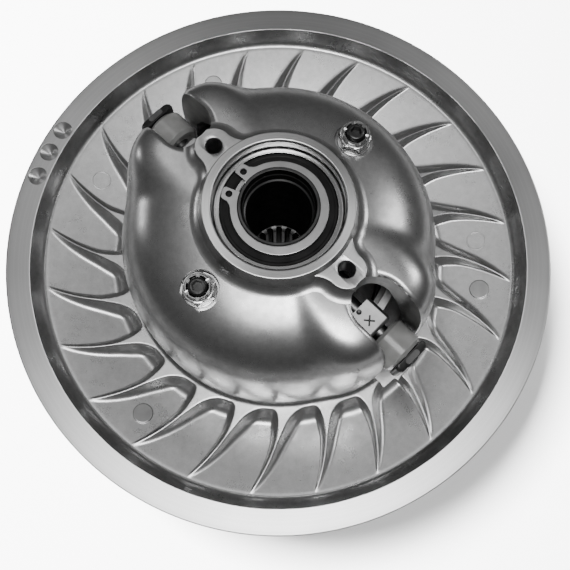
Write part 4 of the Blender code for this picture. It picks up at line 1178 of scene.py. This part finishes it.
def lock_nut(number, z0, bore):
    """A chamfered nut whose turned crown has six notches."""
    angles = full_turn(192)
    flats = hexagon(angles, NUT_FLATS)
    crown = 5.7
    rings = [polar_ring(r, z0 + up, angles) for r, up in (
        (bore, 0.4), (bore + 0.4, 0.0), (6.3, 0.0), (np.minimum(flats, 6.8), 0.05),
        (np.minimum(flats, 7.25), 0.35), (flats, 0.75), (flats, 4.7), (np.minimum(flats, 7.25), 5.15),
        (np.minimum(flats, 6.8), 5.45), (6.4, 5.6), (crown + 0.25, 5.6), (crown, 5.85),
        (5.5, 7.1), (5.2, 7.4), (bore + 0.5, 7.4), (bore, 6.9))]
    nut = lathe(f"nut_{number}", rings, 28)
    notches = []
    for i in range(6):
        notch = block(f"notch_{number}_{i}", (bore - 1.0, -0.8, z0 + 6.2), (8.0, 0.8, z0 + 9.0))
        notches.append(move(notch, place(i * 60.0 + 30.0)))
    combine(nut, notches, sharp=28)
    return nut


def stud_set(number, angle, finishes):
    """A long stud from the spring cup up through the dome, with its washer and lock nut."""
    at = place(angle, STUD_S)
    base = CUP_TOP_Z - CUP_THICK - GAP
    end = NUT_SEAT_Z + 10.6
    thread = []
    z = NUT_SEAT_Z + 0.6
    while z < end - 1.6:
        thread += [(STUD_R, z), (STUD_R - 0.45, z + 0.5)]
        z += 1.0
    outline = [(0.3, base - 3.0), (4.2, base - 3.0), (4.6, base - 2.5), (4.6, base), (STUD_R, base)] + thread
    outline += [(STUD_R, end - 1.0), (3.4, end - 0.2), (2.9, end), (0.3, end)]
    stud = spindle(f"stud_rod_{number}", outline, 48, 0.08)
    combine(stud, [hex_tool(f"socket_{number}", 4.4, end - 3.6, end + 3.0)])
    show(move(stud, at), "front_sheave", finishes["post"], "blackened_steel", f"stud_{number}")
    z0 = NUT_SEAT_Z + GAP
    z1 = z0 + WASHER_THICK
    bore = STUD_R + GAP
    outline = [(bore, z1), (WASHER_R, z1), (WASHER_R, z0), (bore, z0)]
    washer = move(turned(f"washer_{number}", outline, 96, 0.35), at)
    show(washer, "front_sheave", finishes["zinc"], "zinc_plate", f"stud_washer_{number}")
    nut = move(lock_nut(number, z1 + GAP, bore), at @ place(NUT_TURNS[number - 1] - angle))
    show(nut, "front_sheave", finishes["zinc"], "zinc_plate", f"lock_nut_{number}")


def rear_hardware(finishes):
    """The carrier's cap screws and the two bushes that slide on the post."""
    head = REAR_BACK_Z - GAP
    for number, (x, y) in enumerate(screw_places(), 1):
        outline = [(0.3, head - 5.0), (3.4, head - 5.0), (4.0, head - 4.4), (4.0, head), (2.5, head),
                   (2.5, REAR_FLOOR_Z + 12.6), (1.9, REAR_FLOOR_Z + 13.4), (0.3, REAR_FLOOR_Z + 13.4)]
        screw = spindle(f"cap_screw_{number}", outline, 48, 0.2)
        combine(screw, [hex_tool(f"screw_socket_{number}", 3.6, head - 8.0, head - 2.2)])
        move(screw, plan_shift(x, y))
        show(screw, "rear_sheave", finishes["steel"], "ground_steel", f"carrier_screw_{number}")
    for node, low, high in (("post_bush_front", REAR_HUB_Z[1] - 9.0, REAR_HUB_Z[1] - 0.5),
                            ("post_bush_rear", REAR_HUB_Z[0] + 0.5, REAR_HUB_Z[0] + 9.0)):
        outline = [(POST_R + GAP, high), (POST_R + 2.5, high), (POST_R + 2.5, low), (POST_R + GAP, low)]
        show(turned(f"{node}_sleeve", outline), "rear_sheave", finishes["bronze"], "sintered_bronze", node)


# ---- floor, light and camera --------------------------------------------------------------------
def floor():
    """A plain pale table under the pulley, faintly uneven, kept out of the metal's reflections."""
    half = 1500.0
    corners = [(-half, -half, 0), (half, -half, 0), (half, half, 0), (-half, half, 0)]
    made = add_object("floor", corners, [(0, 1, 2, 3)])
    m = Nodes("pale table", 0.75, 0.0, Specular_IOR_Level=0.2)
    m.tint(m.noise(300.0, 2.0), (0.86, 0.86, 0.86), (0.90, 0.90, 0.90))
    m.bump(m.noise(1.5, 2.0), 0.02, 0.2)
    made.data.materials.append(m.material)
    made.visible_glossy = False
    return made


def softbox(name, direction, distance, size, power):
    """A rectangular area light at a direction from the dome, pointed at it."""
    lamp = bpy.data.lights.new(name, "AREA")
    lamp.shape = "RECTANGLE"
    lamp.size, lamp.size_y = size
    lamp.energy = power
    made = bpy.data.objects.new(name, lamp)
    aim = Vector((0.0, 0.0, RIM_Z * MM))
    way = Vector(direction).normalized()
    made.location = aim + way * distance
    made.rotation_euler = way.to_track_quat("Z", "Y").to_euler()
    bpy.context.scene.collection.objects.link(made)
    return made


def lights(table):
    """Softboxes over the pulley, one lamp for the table alone, and a dome of dim light."""
    softbox("overhead", (0.0, -0.21, 1.0), 1.3, (0.50, 0.60), 11.0)
    softbox("upper_left", (-0.30, 0.42, 1.0), 1.4, (0.40, 0.40), 0.8)
    softbox("left", (-1.0, 0.33, 0.10), 1.0, (0.10, 0.10), 0.4)
    softbox("right", (1.0, 0.35, 0.9), 1.3, (0.25, 0.5), 3.0)
    lit = bpy.data.collections.new("lit_by_table_lamp")
    lit.objects.link(table)
    lamp = softbox("table_lamp", (-0.40, 0.17, 1.0), 1.2, (0.36, 0.36), 170.0)
    lamp.light_linking.receiver_collection = lit
    world = bpy.data.worlds.new("studio")
    world.use_nodes = True
    tree = world.node_tree
    way = tree.nodes.new("ShaderNodeTexCoord").outputs["Generated"]
    height = tree.nodes.new("ShaderNodeSeparateXYZ")
    tree.links.new(way, height.inputs["Vector"])
    total = tree.nodes.new("ShaderNodeMath")
    total.operation = "ADD"
    # brightness from the horizon to the top, then from just under the horizon down
    for socket, span in zip(total.inputs, ((0.15, 1.0, 0.09, 0.19), (-0.18, -0.55, 0.0, 0.6))):
        tree.links.new(map_range(tree, height.outputs["Z"], *span, "SMOOTHSTEP"), socket)
    tree.links.new(total.outputs["Value"], tree.nodes["Background"].inputs["Strength"])
    tree.nodes["Background"].inputs["Color"].default_value = (1.0, 1.0, 1.0, 1.0)
    bpy.context.scene.world = world


def camera():
    """Over the dome and a little towards -Y, as the object is looked at in use."""
    lens = bpy.data.cameras.new("camera")
    lens.lens = 43.7
    lens.sensor_width = 36.0
    lens.clip_start = 0.01
    made = bpy.data.objects.new("camera", lens)
    right = Vector((1.0, -0.0021, 0.0072))
    up = Vector((0.0004, 0.9731, 0.2303))
    back = Vector((-0.0075, -0.2303, 0.9731))
    turn = Matrix((right, up, back)).transposed().to_4x4()
    made.matrix_world = Matrix.Translation((0.0004, -0.0982, 0.3366 + RIM_Z * MM)) @ turn
    bpy.context.scene.collection.objects.link(made)
    bpy.context.scene.camera = made


def build():
    finishes = make_finishes()
    front_sheave(finishes)
    rear_sheave(finishes)
    post(finishes)
    helix_cam(finishes)
    bearing(finishes)
    circlips(finishes)
    roller_carrier(finishes)
    for number, angle in enumerate(WINDOW_ANGLES, 1):
        roller_set(number, angle, finishes)
    spring(finishes)
    spring_cup(finishes)
    for number, angle in enumerate(STUD_ANGLES, 1):
        stud_set(number, angle, finishes)
    rear_hardware(finishes)
    lights(floor())
    camera()


build()
